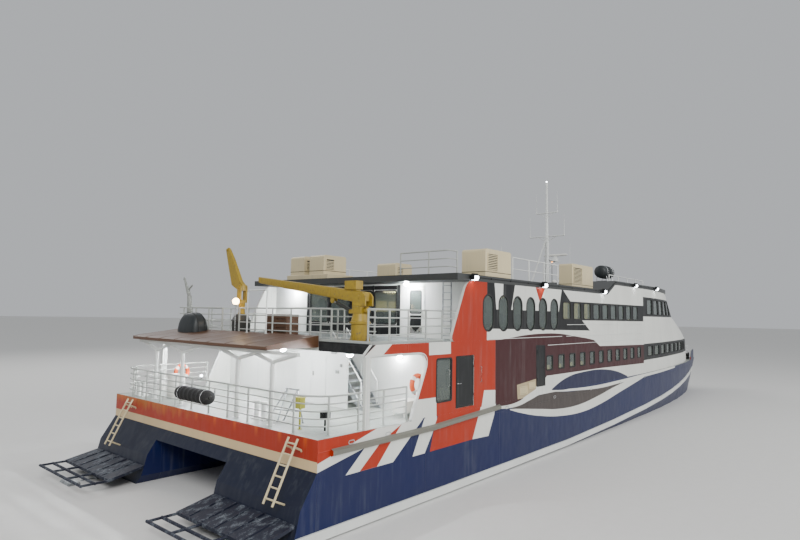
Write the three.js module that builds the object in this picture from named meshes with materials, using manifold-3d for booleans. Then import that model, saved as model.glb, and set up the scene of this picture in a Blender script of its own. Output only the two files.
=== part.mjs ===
// Passenger ferry, a fast aluminium catamaran with two saloon decks, as a scale model at 1:2.
// Frame: +X towards the bow, +Y to port, +Z up. The origin is on the waterline and the
// centreline, straight below the after edge of the main deck.
// Every size below is the real ship's, in metres. SCALE turns them into model millimetres.

import * as THREE from 'three';
import { mergeVertices } from 'three/addons/utils/BufferGeometryUtils.js';
import Module from 'manifold-3d';

const wasm = await Module();
wasm.setup();

const SCALE = 500;
const GAP = 0.0006;          // 0.3 mm of the model between pieces that touch

// Heights above the water
const KEEL = -1.4;
const WET_DECK = 1.5;        // underside of the deck between the hulls
const MAIN_DECK = 2.75;
const UPPER_DECK = 5.28;
const ROOF_AFT = 7.8;
const ROOF_FORE = 8.4;
const DECK_PLATE = 0.33;     // the upper deck with its beams and ceiling
const ROOF_PLATE = 0.25;
const WALL = 0.12;

// Lengths from the after edge of the main deck
const BOW = 48.0;
const KNUCKLE = 27.5;        // the sides are straight up to here
const BRIDGE_FRONT = 45.6;   // front of the deck between the hulls

// Breadths from the centreline
const HALF_BEAM = 6.28;
const TUNNEL = 2.28;
const HULL_CENTRE = (HALF_BEAM + TUNNEL) / 2;

const PAINT = {
  navy: 0x0c2148,
  cream: 0xd9d2c0,
  white: 0xe9ecea,
  red: 0xb8330f,
  maroon: 0x4d1a18,
  grey: 0x9aa0a2,
  dark: 0x23262a,
  brown: 0x4a3020,
  yellow: 0x9a8a1c,
  alloy: 0xb7bcc0,
  orange: 0xd9541e,
  deck: 0x6d7473,
  glass: 0x10161b,
};

// Shapes.

const ferry = new THREE.Group();

function solid(geometry) {
  const bare = geometry.index ? geometry.toNonIndexed() : geometry.clone();
  bare.deleteAttribute('normal');
  bare.deleteAttribute('uv');
  const merged = mergeVertices(bare, 1e-5);
  return new wasm.Manifold(new wasm.Mesh({
    numProp: 3,
    vertProperties: merged.attributes.position.array,
    triVerts: new Uint32Array(merged.index.array),
  }));
}

function join(pieces) {
  return pieces.map(p => (p instanceof THREE.BufferGeometry ? solid(p) : p))
    .reduce((whole, piece) => whole.add(piece));
}

function cut(whole, pieces) {
  const body = whole instanceof THREE.BufferGeometry ? solid(whole) : whole;
  return pieces.length ? body.subtract(join(pieces)) : body;
}

function add(name, shape, colour, rough = 0.5, metal = 0.0) {
  const mesh = (shape instanceof THREE.BufferGeometry ? solid(shape) : shape).getMesh();
  const geometry = new THREE.BufferGeometry();
  const places = new Float32Array(mesh.vertProperties).map(v => v * SCALE);
  geometry.setAttribute('position', new THREE.BufferAttribute(places, 3));
  geometry.setIndex(Array.from(mesh.triVerts));
  geometry.computeVertexNormals();
  const finish = new THREE.MeshStandardMaterial({ color: colour, roughness: rough, metalness: metal });
  const node = new THREE.Mesh(geometry, finish);
  node.name = name;
  ferry.add(node);
}

function box(x0, x1, y0, y1, z0, z1) {
  const g = new THREE.BoxGeometry(x1 - x0, y1 - y0, z1 - z0);
  return g.translate((x0 + x1) / 2, (y0 + y1) / 2, (z0 + z1) / 2);
}

// Corners are given as x, y and, where the corner is rounded, its radius and steps.
function outline(corners) {
  const points = corners.flatMap(([x, y, r, steps = 3], i) => {
    if (!r) {
      return [new THREE.Vector2(x, y)];
    }
    const here = new THREE.Vector2(x, y);
    const before = corners.at(i - 1);
    const after = corners[(i + 1) % corners.length];
    const a = new THREE.Vector2(before[0], before[1]).sub(here).normalize();
    const b = new THREE.Vector2(after[0], after[1]).sub(here).normalize();
    const half = Math.acos(a.dot(b)) / 2;
    const middle = a.clone().add(b).normalize().multiplyScalar(r / Math.sin(half));
    const start = a.multiplyScalar(r / Math.tan(half)).sub(middle);
    const end = b.multiplyScalar(r / Math.tan(half)).sub(middle);
    const turn = Math.atan2(start.cross(end), start.dot(end));
    return Array.from({ length: steps + 1 }, (_, k) => start.clone()
      .rotateAround(new THREE.Vector2(), turn * k / steps).add(middle).add(here));
  });
  return points;
}

function extrude(corners, depth) {
  return new THREE.ExtrudeGeometry(new THREE.Shape(outline(corners)), { depth, bevelEnabled: false });
}

// A plate whose outline is given as x, z and which stands fore and aft between y0 and y1.
function sidePlate(corners, y0, y1, holes = []) {
  const plate = extrude(corners, y1 - y0).rotateX(Math.PI / 2).translate(0, y1, 0);
  return cut(plate, holes.map(hole => sidePlate(hole, y0 - 1, y1 + 1)));
}

// A plate whose outline is given as y, z and which stands athwart between x0 and x1.
const ATHWART = new THREE.Matrix4().makeBasis(
  new THREE.Vector3(0, 1, 0), new THREE.Vector3(0, 0, 1), new THREE.Vector3(1, 0, 0));
function crossPlate(corners, x0, x1, holes = []) {
  const plate = extrude(corners, x1 - x0).applyMatrix4(ATHWART).translate(x0, 0, 0);
  return cut(plate, holes.map(hole => crossPlate(hole, x0 - 1, x1 + 1)));
}

// A plate whose outline is given as x, y and which lies flat between z0 and z1.
function deckPlate(corners, z0, z1, holes = []) {
  const plate = extrude(corners, z1 - z0).translate(0, 0, z0);
  return cut(plate, holes.map(hole => deckPlate(hole, z0 - 1, z1 + 1)));
}

function rectangle(x0, x1, y0, y1) {
  return [[x0, y0], [x1, y0], [x1, y1], [x0, y1]];
}

// A rectangle with its corners rounded, given by its middle and its sizes.
function rounded(x, y, w, h, r, steps = 2) {
  return [[x - w / 2, y - h / 2, r, steps], [x + w / 2, y - h / 2, r, steps],
    [x + w / 2, y + h / 2, r, steps], [x - w / 2, y + h / 2, r, steps]];
}

// A round or square bar between two points, running a little past both of them.
function bar(a, b, radius, sides = 6, past = 0) {
  const from = new THREE.Vector3(...a);
  const to = new THREE.Vector3(...b);
  const along = to.clone().sub(from);
  const length = along.length();
  along.normalize();
  const g = new THREE.CylinderGeometry(radius, radius, length + 2 * past, sides, 1);
  if (sides === 4) {
    g.rotateY(Math.PI / 4);
  }
  g.applyQuaternion(new THREE.Quaternion().setFromUnitVectors(new THREE.Vector3(0, 1, 0), along));
  return g.translate(...from.add(to).multiplyScalar(0.5).toArray());
}

// A skin through rings that hold the same number of points, closed at both ends.
function loft(rings) {
  const count = rings[0].length;
  const places = rings.flat(2);
  const faces = [];
  for (let i = 0; i + 1 < rings.length; i += 1) {
    for (let j = 0; j < count; j += 1) {
      const k = (j + 1) % count;
      faces.push(i * count + j, i * count + k, (i + 1) * count + k);
      faces.push(i * count + j, (i + 1) * count + k, (i + 1) * count + j);
    }
  }
  for (const end of [0, rings.length - 1]) {
    const flat = flatten(rings[end]);
    const wound = Math.sign(THREE.ShapeUtils.area(flat)) * (end === 0 ? -1 : 1);
    for (const tri of THREE.ShapeUtils.triangulateShape(flat, [])) {
      const same = Math.sign(THREE.ShapeUtils.area(tri.map(v => flat[v]))) === wound;
      faces.push(...(same ? tri : tri.reverse()).map(v => end * count + v));
    }
  }
  const g = new THREE.BufferGeometry();
  g.setAttribute('position', new THREE.BufferAttribute(new Float32Array(places), 3));
  g.setIndex(faces);
  return volume(g) < 0 ? turned(g) : g;
}

// A ring's points laid out on the two axes that it faces most squarely.
function flatten(ring) {
  const views = [[1, 2], [2, 0], [0, 1]].map(([u, v]) => ring.map(p => new THREE.Vector2(p[u], p[v])));
  const areas = views.map(view => Math.abs(THREE.ShapeUtils.area(view)));
  return views[areas.indexOf(Math.max(...areas))];
}

function volume(g) {
  const p = g.attributes.position;
  const [a, b, c] = [new THREE.Vector3(), new THREE.Vector3(), new THREE.Vector3()];
  let sum = 0;
  for (let i = 0; i < g.index.count; i += 3) {
    a.fromBufferAttribute(p, g.index.getX(i));
    b.fromBufferAttribute(p, g.index.getX(i + 1));
    c.fromBufferAttribute(p, g.index.getX(i + 2));
    sum += a.dot(b.cross(c));
  }
  return sum;
}

function turned(g) {
  const index = Array.from(g.index.array);
  for (let i = 0; i < index.length; i += 3) {
    [index[i], index[i + 1]] = [index[i + 1], index[i]];
  }
  g.setIndex(index);
  return g;
}

// The same solid on the other side of the centreline.
function mirrored(shape) {
  return (shape instanceof THREE.BufferGeometry ? solid(shape) : shape).mirror([0, 1, 0]);
}

function pair(name, shape, ...finish) {
  const body = shape instanceof THREE.BufferGeometry ? solid(shape) : shape;
  add(`${name}_port`, body, ...finish);
  add(`${name}_starboard`, mirrored(body), ...finish);
}

// Hulls.

// How the outer and inner sides, the chine and the keel run along the length.
function past(x, from) {
  return Math.max(0, (x - from) / (BOW - from));
}

function outerSide(x) {
  return HALF_BEAM - (HALF_BEAM - HULL_CENTRE - 0.09) * past(x, KNUCKLE) ** 2.1;
}

function innerSide(x) {
  return TUNNEL + (HULL_CENTRE - TUNNEL - 0.09) * past(x, KNUCKLE) ** 2.1;
}

function chine(x) {
  return 0.05 + 2.0 * past(x, 12) ** 1.7;
}

// One slice through the port hull: x at the deck, and how much further forward the keel is.
function hullRing(x, lean) {
  const out = outerSide(x);
  const inn = innerSide(x);
  const c = chine(x);
  const keel = KEEL + 0.5 * past(x, 38) ** 2;
  const wide = out - inn;
  const points = [
    [out, MAIN_DECK], [out, c], [out - 0.22 * wide, keel * 0.6], [HULL_CENTRE + 0.1 * wide, keel],
    [HULL_CENTRE - 0.1 * wide, keel], [inn + 0.22 * wide, keel * 0.6], [inn, c + 0.25], [inn, MAIN_DECK],
  ];
  return points.map(([y, z]) => [x + lean * (MAIN_DECK - z) / (MAIN_DECK - KEEL), y, z]);
}

// The transom in side view: an upright belt under the deck's edge, then a face that runs aft as
// it goes down. Columns: x, z.
const TRANSOM = [[0, MAIN_DECK + 0.5], [0, MAIN_DECK - 0.88], [-0.55, MAIN_DECK - 1.75],
  [-0.66, MAIN_DECK - 2.2], [-1.2, KEEL - 0.1]];

function transomX(z) {
  const i = TRANSOM.findIndex(([, low]) => z >= low);
  const [[x0, z0], [x1, z1]] = [TRANSOM[i - 1], TRANSOM[i]];
  return x0 + (x1 - x0) * (z0 - z) / (z0 - z1);
}

// Everything behind the transom, or before it, to cut with. far is the x of its other end.
function besideTransom(far, shift = 0) {
  return sidePlate([...TRANSOM.map(([x, z]) => [x + shift, z]), [far, KEEL - 0.1], [far, MAIN_DECK + 0.5]],
    -8, 8);
}

const STERN_CUT_X = -1.5;
// Columns: x at the deck, lean of the slice from deck to keel.
const HULL_SLICES = [
  [STERN_CUT_X, 0], [6, 0], [16, 0], [22, 0], [KNUCKLE, 0], [31, 0],
  [34, 0], [37, -0.3], [40, -0.8], [43, -1.6], [45.6, -2.6], [BOW, -3.8],
];

// Rubbing strake low on the after part of each side, with a flat outer face.
// Columns: x, height of its middle.
const STRAKE_LINE = [[0.5, MAIN_DECK - 0.42], [5.2, MAIN_DECK - 0.37], [9.6, MAIN_DECK - 0.15]];
const STRAKE = { foot: 0.11, face: 0.06, out: 0.1, root: 0.05 };
const strake = loft(STRAKE_LINE.map(([x, z]) => [
  [x, HALF_BEAM - STRAKE.root, z - STRAKE.foot], [x, HALF_BEAM, z - STRAKE.foot],
  [x, HALF_BEAM + STRAKE.out, z - STRAKE.face], [x, HALF_BEAM + STRAKE.out, z + STRAKE.face],
  [x, HALF_BEAM, z + STRAKE.foot], [x, HALF_BEAM - STRAKE.root, z + STRAKE.foot],
]));

// A low bulwark rises round each bow. Columns: x, height as a share of the full one.
const BULWARK = { high: 0.8, thick: 0.06, inset: 0.02, root: 0.05 };
const BULWARK_LINE = [[43.9, 0.3], [44.7, 0.9], [45.5, 1], [46.3, 1], [47.1, 1]];
const bulwark = loft(BULWARK_LINE.map(([x, share]) => {
  const out = outerSide(x) - BULWARK.inset;
  const top = MAIN_DECK + BULWARK.high * share;
  const root = MAIN_DECK - BULWARK.root;
  return [[out, root], [out - BULWARK.thick, root], [out - BULWARK.thick, top], [out, top]]
    .map(([y, z]) => [x, y, z]);
}));
const hullForm = cut(loft(HULL_SLICES.map(([x, lean]) => hullRing(x, lean))), [besideTransom(-4)]);
pair('hull', join([hullForm, strake, bulwark]), PAINT.navy, 0.35);

// The white strip along each chine stands a little proud of the side.
const STRIP_HIGH = 0.27;
const STRIP_OUT = 0.06;
const STRIP_SLICES = HULL_SLICES.slice(0, -1);
pair('chine_strip', cut(loft(STRIP_SLICES.map(([x, lean]) => {
  const out = outerSide(x) + GAP * 1.5;
  const c = chine(x);
  const shift = z => x + lean * (MAIN_DECK - z) / (MAIN_DECK - KEEL);
  return [[out, c], [out, c + STRIP_HIGH], [out + STRIP_OUT, c + STRIP_HIGH], [out + STRIP_OUT, c]]
    .map(([y, z]) => [shift(z), y, z]);
})), [besideTransom(-4, 0.02)]), PAINT.cream, 0.5);

// The deck between the hulls fills the gap from side to side, and its underside rises at the front.
add('bridge_deck', cut(loft([STERN_CUT_X, KNUCKLE, 31, 34, 37, 40, 43, BRIDGE_FRONT].map((x) => {
  const half = innerSide(x) - GAP;
  const under = x < BRIDGE_FRONT ? WET_DECK : WET_DECK + 0.6;
  return [[x, half, MAIN_DECK], [x, half, under], [x, -half, under], [x, -half, MAIN_DECK]];
})), [besideTransom(-4)]), PAINT.navy, 0.4);

// Saloon sides.

const FLOOR = MAIN_DECK + GAP;

// The lower side plate, with the recess that opens the after deck to the side.
const LOWER_SIDE = [
  [4.05, FLOOR], [KNUCKLE, FLOOR], [KNUCKLE, UPPER_DECK - GAP], [2.1, UPPER_DECK - GAP],
  [1.75, MAIN_DECK + 2.2], [5.05, MAIN_DECK + 2.2, 0.4], [4.2, MAIN_DECK + 0.34],
];

// The upper side plate, which ends aft in a raked fin.
const UPPER_SIDE = [
  [6.2, UPPER_DECK, 0.15], [KNUCKLE, UPPER_DECK], [KNUCKLE, ROOF_FORE - ROOF_PLATE - GAP],
  [22.6, ROOF_FORE - ROOF_PLATE - GAP], [21.4, ROOF_AFT - ROOF_PLATE - GAP],
  [7.25, ROOF_AFT - ROOF_PLATE - GAP, 0.5],
];

// Windows. Columns: first x, pitch, how many, middle z, width, height, corner radius, steps.
const WINDOWS = {
  lower: [14.1, 1.25, 11, MAIN_DECK + 1.37, 0.66, 0.66, 0.08, 1],
  oval: [8.75, 1.17, 6, MAIN_DECK + 3.6, 0.8, 1.45, 0.395, 4],
  upper: [16.0, 1.25, 9, MAIN_DECK + 3.8, 0.9, 0.85, 0.12, 1],
};

function windowRow([x0, pitch, count, z, w, h, r, steps]) {
  return Array.from({ length: count }, (_, i) => rounded(x0 + i * pitch, z, w, h, r, steps));
}

// Two tall dark lights beside the after stairs, the forward one a shell door.
const SHELL_DOOR = { x0: 6.54, x1: 7.74, z0: MAIN_DECK + 0.12, z1: MAIN_DECK + 2.0 };
const TALL_LIGHT = rounded(5.83, MAIN_DECK + 1.2, 0.92, 1.5, 0.08);
const doorHole = rectangle(SHELL_DOOR.x0, SHELL_DOOR.x1, SHELL_DOOR.z0, SHELL_DOOR.z1);

// The pillar at the corner carries the after end of the plate.
const cornerPillar = box(1.85, 2.05, HALF_BEAM - WALL, HALF_BEAM - 0.01, FLOOR, MAIN_DECK + 2.25);
pair('lower_side', join([cornerPillar, sidePlate(LOWER_SIDE, HALF_BEAM - WALL, HALF_BEAM,
  [doorHole, TALL_LIGHT, ...windowRow(WINDOWS.lower)])]), PAINT.maroon, 0.4);
pair('upper_side', sidePlate(UPPER_SIDE, HALF_BEAM - WALL, HALF_BEAM,
  [...windowRow(WINDOWS.oval), ...windowRow(WINDOWS.upper)]), PAINT.cream, 0.4);

// Doors stand 7 mm clear of their frames and turn on two round knuckles at one edge.
const RUN = 0.014;
const KNUCKLES = [0.18, 0.82];
function knuckles(x, y, z0, z1) {
  return KNUCKLES.map(t => bar([x, y, z0 + (z1 - z0) * t - 0.12], [x, y, z0 + (z1 - z0) * t + 0.12],
    RUN - GAP, 8));
}

// The shell door hangs on its forward edge and opens outwards.
const D = SHELL_DOOR;
pair('shell_door', join([
  box(D.x0 + RUN, D.x1 - RUN - 0.006, HALF_BEAM - 0.05, HALF_BEAM - RUN, D.z0 + RUN, D.z1 - RUN),
  box(D.x0 + RUN, D.x1 - RUN - 0.02, HALF_BEAM - 0.05, HALF_BEAM, D.z0 + RUN, D.z1 - RUN),
  ...knuckles(D.x1 - RUN, HALF_BEAM - RUN, D.z0, D.z1),
]), PAINT.dark, 0.3);

// Front of the house.

// Half-plans of the front, from the knuckle to the centreline. The corners have the same y at
// every height, and each height has its own row of x.
const FRONT_Y = [HALF_BEAM, 6.14, 5.85, 5.5, 5.0, 3.9, 2.2, 0];
const FRONT_X = {
  deck: [KNUCKLE, 32.0, 36.2, 39.8, 42.6, 44.1, 44.8, 45.0],
  sill: [KNUCKLE, 32.0, 36.1, 39.6, 42.4, 43.9, 44.6, 44.8],
  upper: [KNUCKLE, 31.6, 35.2, 38.4, 41.1, 42.6, 43.3, 43.5],
  waist: [KNUCKLE, 31.0, 33.9, 36.4, 38.5, 39.8, 40.4, 40.6],
  roof: [KNUCKLE, 30.5, 32.9, 35.0, 36.8, 37.9, 38.5, 38.7],
};
const SILL = MAIN_DECK + 1.75;
const WAIST = MAIN_DECK + 3.65;
const UNDER_ROOF = ROOF_FORE - ROOF_PLATE - GAP;

function planRing(xs, z, inset) {
  const last = xs.length - 1;
  const port = xs.map((x, i) => [
    x - (i === 0 ? 0 : inset * (i / last) ** 0.5), FRONT_Y[i] - (i === last ? 0 : inset), z]);
  const starboard = port.slice(0, -1).reverse().map(([x, y]) => [x, -y, z]);
  return [...port, ...starboard];
}

// A shell of wall thickness through rows of x at rising heights, open below, above and aft.
function frontShell(levels, thick) {
  const [z0, z1] = [levels[0][1], levels.at(-1)[1]];
  const outer = loft(levels.map(([xs, z]) => planRing(xs, z, 0)));
  const past = z => z + (z === z1 ? 0.01 : 0) - (z === z0 ? 0.01 : 0);
  const inner = loft(levels.map(([xs, z]) => planRing(xs, past(z), thick)));
  const aft = box(KNUCKLE - 0.1, KNUCKLE + 0.001, -HALF_BEAM + thick, HALF_BEAM - thick, z0 - 1, z1 + 1);
  return cut(outer, [inner, aft]);
}

// Windows in the front: slots run forward through it, and slots athwart cut both sides at once.
// Columns of ahead: y, width. Columns of abeam: x, width.
function frontSlots(ahead, abeam, xFrom, z0, z1) {
  return [
    ...ahead.flatMap(([y, w]) => [y, -y].map(m => box(xFrom, BOW, m - w / 2, m + w / 2, z0, z1))),
    ...abeam.map(([x, w]) => box(x - w / 2, x + w / 2, -8, 8, z0, z1)),
  ];
}

const AHEAD = [[0.76, 1.3], [2.22, 1.3], [3.62, 1.2]];
const lowAbeam = [29.0, 30.6, 32.2, 33.8, 35.4, 37.0, 38.6, 40.2].map(x => [x, 1.2]);
const highAbeam = [29.0, 30.6, 32.2, 33.8, 35.4].map(x => [x, 1.3]);
add('main_front', cut(frontShell([[FRONT_X.deck, FLOOR], [FRONT_X.sill, SILL],
  [FRONT_X.upper, UPPER_DECK - GAP]], WALL),
  frontSlots(AHEAD, lowAbeam, 41, MAIN_DECK + 1.04, MAIN_DECK + 1.7)), PAINT.navy, 0.4);
add('wheelhouse_front', cut(frontShell([[FRONT_X.upper, UPPER_DECK], [FRONT_X.waist, WAIST],
  [FRONT_X.roof, UNDER_ROOF]], WALL),
  frontSlots(AHEAD, highAbeam, 36, MAIN_DECK + 3.75, MAIN_DECK + 4.75)), PAINT.cream, 0.4);

// Decks and roofs.

const UPPER_AFT = 2.3;
const inside = WALL + GAP;
const midInset = planRing(FRONT_X.upper, 0, inside + 0.25).map(([x, y]) => [x, y]);
const upperDeckPlan = [[UPPER_AFT, HALF_BEAM - inside], ...midInset.filter(([x, y]) => y >= 0),
  ...midInset.filter(([x, y]) => y < 0), [UPPER_AFT, -HALF_BEAM + inside]];
// The after stair climbs to port, from y foot to y head, through a well in the upper deck.
const STAIR = {
  x0: 4.3, x1: 5.2, foot: -3.75, head: -1.75, rise: UPPER_DECK - DECK_PLATE - MAIN_DECK - 0.02,
};
const STAIR_WELL = rectangle(STAIR.x0 - 0.08, STAIR.x1 + 0.08, -3.3, -1.55);
add('upper_deck', deckPlate(upperDeckPlan, UPPER_DECK - DECK_PLATE, UPPER_DECK - GAP, [STAIR_WELL]),
  PAINT.deck, 0.8);

add('roof_aft', join([
  deckPlate(rectangle(6.6, 21.4, -HALF_BEAM, HALF_BEAM), ROOF_AFT - ROOF_PLATE, ROOF_AFT),
  sidePlate([[21.3, ROOF_AFT - ROOF_PLATE], [21.4, ROOF_AFT - ROOF_PLATE], [22.6, ROOF_FORE - ROOF_PLATE],
    [22.6, ROOF_FORE], [21.2, ROOF_AFT]], -HALF_BEAM, HALF_BEAM),
]), PAINT.dark, 0.6);
const topPlan = planRing(FRONT_X.roof, 0, -0.05).map(([x, y]) => [x, y]);
add('roof_fore', deckPlate([[22.6 + GAP, HALF_BEAM], ...topPlan.slice(1, -1), [22.6 + GAP, -HALF_BEAM]],
  ROOF_FORE - ROOF_PLATE, ROOF_FORE), PAINT.dark, 0.6);

// Cross bulkheads.

const INNER = HALF_BEAM - WALL - GAP;
const AFT_WALL = 5.3;
const UPPER_WALL = 7.9;
const DOOR_W = 0.8;
const DOOR_H = 1.95;
const MAIN_DOOR_Y = 0.6;
const UPPER_DOOR_Y = -3.27;

function doorway(y, deck) {
  return rectangle(y - DOOR_W / 2, y + DOOR_W / 2, deck + 0.12, deck + 0.12 + DOOR_H);
}

// Two walls on the main deck's bulkhead hide the upper half of the stair.
const UNDER_DECK = UPPER_DECK - DECK_PLATE - GAP;
add('main_aft_bulkhead', join([
  crossPlate(rectangle(-INNER, INNER, FLOOR, UNDER_DECK), AFT_WALL, AFT_WALL + 0.08,
    [doorway(MAIN_DOOR_Y, MAIN_DECK)]),
  box(STAIR.x0 - 0.1, STAIR.x0 - 0.04, -3.05, -0.2, FLOOR, UNDER_DECK),
  box(STAIR.x0 - 0.1, AFT_WALL + 0.01, -0.26, -0.2, FLOOR, UNDER_DECK),
]), PAINT.white, 0.5);
const aftLights = [-1.55, -0.1, 1.35, 2.8].map(y => rounded(y, UPPER_DECK + 1.25, 1.3, 1.45, 0.1));
add('upper_aft_bulkhead', crossPlate(
  rectangle(-INNER, INNER, UPPER_DECK, ROOF_AFT - ROOF_PLATE - GAP),
  UPPER_WALL, UPPER_WALL + 0.08, [doorway(UPPER_DOOR_Y, UPPER_DECK), ...aftLights]), PAINT.white, 0.5);

// A bulkhead door hangs on its port edge and opens aft.
function doorLeaf(y, deck, x) {
  const [z0, z1] = [deck + 0.12, deck + 0.12 + DOOR_H];
  const edge = y + DOOR_W / 2;
  return join([
    box(x + RUN, x + 0.05, y - DOOR_W / 2 + RUN, edge - RUN - 0.006, z0 + RUN, z1 - RUN),
    box(x, x + 0.05, y - DOOR_W / 2 + RUN, edge - RUN - 0.02, z0 + RUN, z1 - RUN),
    ...knuckles(x + RUN, edge - RUN, z0, z1),
  ]);
}

add('main_aft_door', doorLeaf(MAIN_DOOR_Y, MAIN_DECK, AFT_WALL), PAINT.grey, 0.4);
add('upper_aft_door', doorLeaf(UPPER_DOOR_Y, UPPER_DECK, UPPER_WALL), PAINT.grey, 0.4);

// After deck: rails, canopy, stair.

const RAIL = 0.028;
const POST = 0.04;

// A railing of level bars and upright posts along a path of deck points, joined to one piece.
function railing(path, deck, heights, postPitch, postRadius = POST) {
  const pieces = [];
  for (let i = 0; i + 1 < path.length; i += 1) {
    const [a, b] = [path[i], path[i + 1]];
    for (const h of heights) {
      const radius = h === heights[heights.length - 1] ? RAIL * 1.3 : RAIL;
      pieces.push(bar([...a, deck + h], [...b, deck + h], radius, 4, RAIL * 0.8));
    }
    const length = Math.hypot(b[0] - a[0], b[1] - a[1]);
    const count = Math.max(1, Math.round(length / postPitch));
    for (let k = i === 0 ? 0 : 1; k <= count; k += 1) {
      const t = k / count;
      const [x, y] = [a[0] + (b[0] - a[0]) * t, a[1] + (b[1] - a[1]) * t];
      const top = heights[heights.length - 1];
      pieces.push(bar([x, y, deck + GAP], [x, y, deck + top], postRadius, 4));
    }
  }
  return join(pieces);
}

function arcPath(cx, cy, r, from, to, steps) {
  return Array.from({ length: steps + 1 }, (_, i) => {
    const a = THREE.MathUtils.degToRad(from + (to - from) * i / steps);
    return [cx + r * Math.cos(a), cy + r * Math.sin(a)];
  });
}

const RAIL_Y = HALF_BEAM - 0.2;
const RAIL_X = 0.12;
const CORNER = 0.9;
const sternPath = [
  [4.0, RAIL_Y],
  ...arcPath(RAIL_X + CORNER, RAIL_Y - CORNER, CORNER, 90, 180, 3),
  ...arcPath(RAIL_X + CORNER, -RAIL_Y + CORNER, CORNER, 180, 270, 3),
  [4.0, -RAIL_Y],
];
add('stern_rail', railing(sternPath, MAIN_DECK, [0.25, 0.46, 0.67, 0.88, 1.1], 1.3), PAINT.white, 0.4);

// The upper rail stops on each side of the two cranes. A low kerb carries all of its posts.
const UPPER_RAIL = { x: UPPER_AFT + 0.1, y: RAIL_Y - 0.12, fore: 6.1 };
const U = UPPER_RAIL;
const railRuns = [
  [[U.fore, U.y], [U.x, U.y], [U.x, 2.45]],
  [[U.x, 1.25], [U.x, -4.1]],
  [[U.x, -5.8], [U.x, -U.y], [U.fore, -U.y]],
];
const kerb = (x0, x1, y0, y1) => box(x0, x1, y0, y1, UPPER_DECK + GAP, UPPER_DECK + 0.08);
add('upper_rail', join([
  ...railRuns.map(run => railing(run, UPPER_DECK, [0.28, 0.55, 0.83, 1.1], 1.5)),
  kerb(U.x - 0.04, U.x + 0.04, -U.y - 0.04, U.y + 0.04),
  kerb(U.x, U.fore, U.y - 0.04, U.y + 0.04),
  kerb(U.x, U.fore, -U.y - 0.04, -U.y + 0.04),
]), PAINT.white, 0.4);

// The brown canopy over the after deck, and the forked posts that carry it.
const CANOPY = {
  x0: 0.15, x1: UPPER_AFT - GAP, y0: -3.6, y1: 5.4, zAft: MAIN_DECK + 2.4, zFore: MAIN_DECK + 2.62,
};
add('aft_canopy', sidePlate([[CANOPY.x0, CANOPY.zAft - 0.1], [CANOPY.x1, CANOPY.zFore - 0.3],
  [CANOPY.x1, CANOPY.zFore + 0.1], [CANOPY.x0, CANOPY.zAft + 0.04]], CANOPY.y0, CANOPY.y1), PAINT.brown, 0.7);

// Each forked post stands at the deck edge and carries a beam under the canopy.
const POST_X = 0.42;
const POSTS_Y = [3.85, 1.85, -1.75, -3.6];
const FORK_Z = MAIN_DECK + 1.98;
const ARM_SPAN = 1.2;
const BEAM_Z = MAIN_DECK + 2.22;
add('canopy_frame', join([
  box(POST_X - 0.06, POST_X + 0.06, -4.85, CANOPY.y1 - 0.1, BEAM_Z - 0.05, BEAM_Z + 0.05),
  ...POSTS_Y.flatMap(y => [
    bar([POST_X, y, FLOOR], [POST_X, y, FORK_Z], 0.08, 8),
    bar([POST_X, y, FORK_Z - 0.06], [POST_X, y + ARM_SPAN, BEAM_Z], 0.06, 6),
    bar([POST_X, y, FORK_Z - 0.06], [POST_X, y - ARM_SPAN, BEAM_Z], 0.06, 6),
  ]),
]), PAINT.white, 0.4);

// A steep stair beside the bulkhead, from the after deck up through the upper deck.
const steps = [];
const STEP_COUNT = 9;
for (let i = 1; i < STEP_COUNT; i += 1) {
  const t = i / STEP_COUNT;
  const y = STAIR.foot + (STAIR.head - STAIR.foot) * t;
  steps.push(box(STAIR.x0 + 0.02, STAIR.x1 - 0.02, y - 0.11, y + 0.11,
    MAIN_DECK + STAIR.rise * t - 0.02, MAIN_DECK + STAIR.rise * t + 0.02));
}
const stringer = [[STAIR.foot - 0.15, FLOOR], [STAIR.foot + 0.15, FLOOR],
  [STAIR.head + 0.15, MAIN_DECK + STAIR.rise], [STAIR.head - 0.15, MAIN_DECK + STAIR.rise]];
add('aft_stair', join([...steps,
  crossPlate(stringer, STAIR.x0, STAIR.x0 + 0.05), crossPlate(stringer, STAIR.x1 - 0.05, STAIR.x1)]),
  PAINT.alloy, 0.5, 0.6);

// Ladders down the transom, held off it by four square struts that meet the rails squarely.
const TRANSOM_LADDER = {
  top: [-0.14, MAIN_DECK - 0.04], foot: [-0.95, MAIN_DECK - 1.7], half: 0.2, rungs: 6,
};
function ladder(y) {
  const { top, foot, half, rungs } = TRANSOM_LADDER;
  const at = t => [top[0] + (foot[0] - top[0]) * t, top[1] + (foot[1] - top[1]) * t];
  const across = (t, thick) => bar([at(t)[0], y - half, at(t)[1]], [at(t)[0], y + half, at(t)[1]], thick, 4);
  const long = Math.hypot(foot[0] - top[0], foot[1] - top[1]);
  const reach = [(top[1] - foot[1]) / long, (foot[0] - top[0]) / long];
  const struts = [0.13, 0.92].flatMap(t => [-half, half].map(d => bar([at(t)[0], y + d, at(t)[1]],
    [at(t)[0] + 0.6 * reach[0], y + d, at(t)[1] + 0.6 * reach[1]], 0.04, 4)));
  return cut(join([
    ...[-half, half].map(d => bar([top[0], y + d, top[1]], [foot[0], y + d, foot[1]], 0.03, 6)),
    ...Array.from({ length: rungs }, (_, i) => across((i + 0.5) / rungs, 0.02)),
    ...struts,
  ]), [besideTransom(3, -GAP)]);
}
add('transom_ladder_port', ladder(4.7), PAINT.cream, 0.5);
add('transom_ladder_starboard', ladder(-5.4), PAINT.cream, 0.5);

// Waterjets.

const JET = { y: HULL_CENTRE, z: -0.42, radius: 0.52, ball: 0.34, housing: 0.6 };
const JET_END = transomX(JET.z) - JET.housing;
const STEER_X = JET_END - 0.02 - JET.ball;

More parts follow.
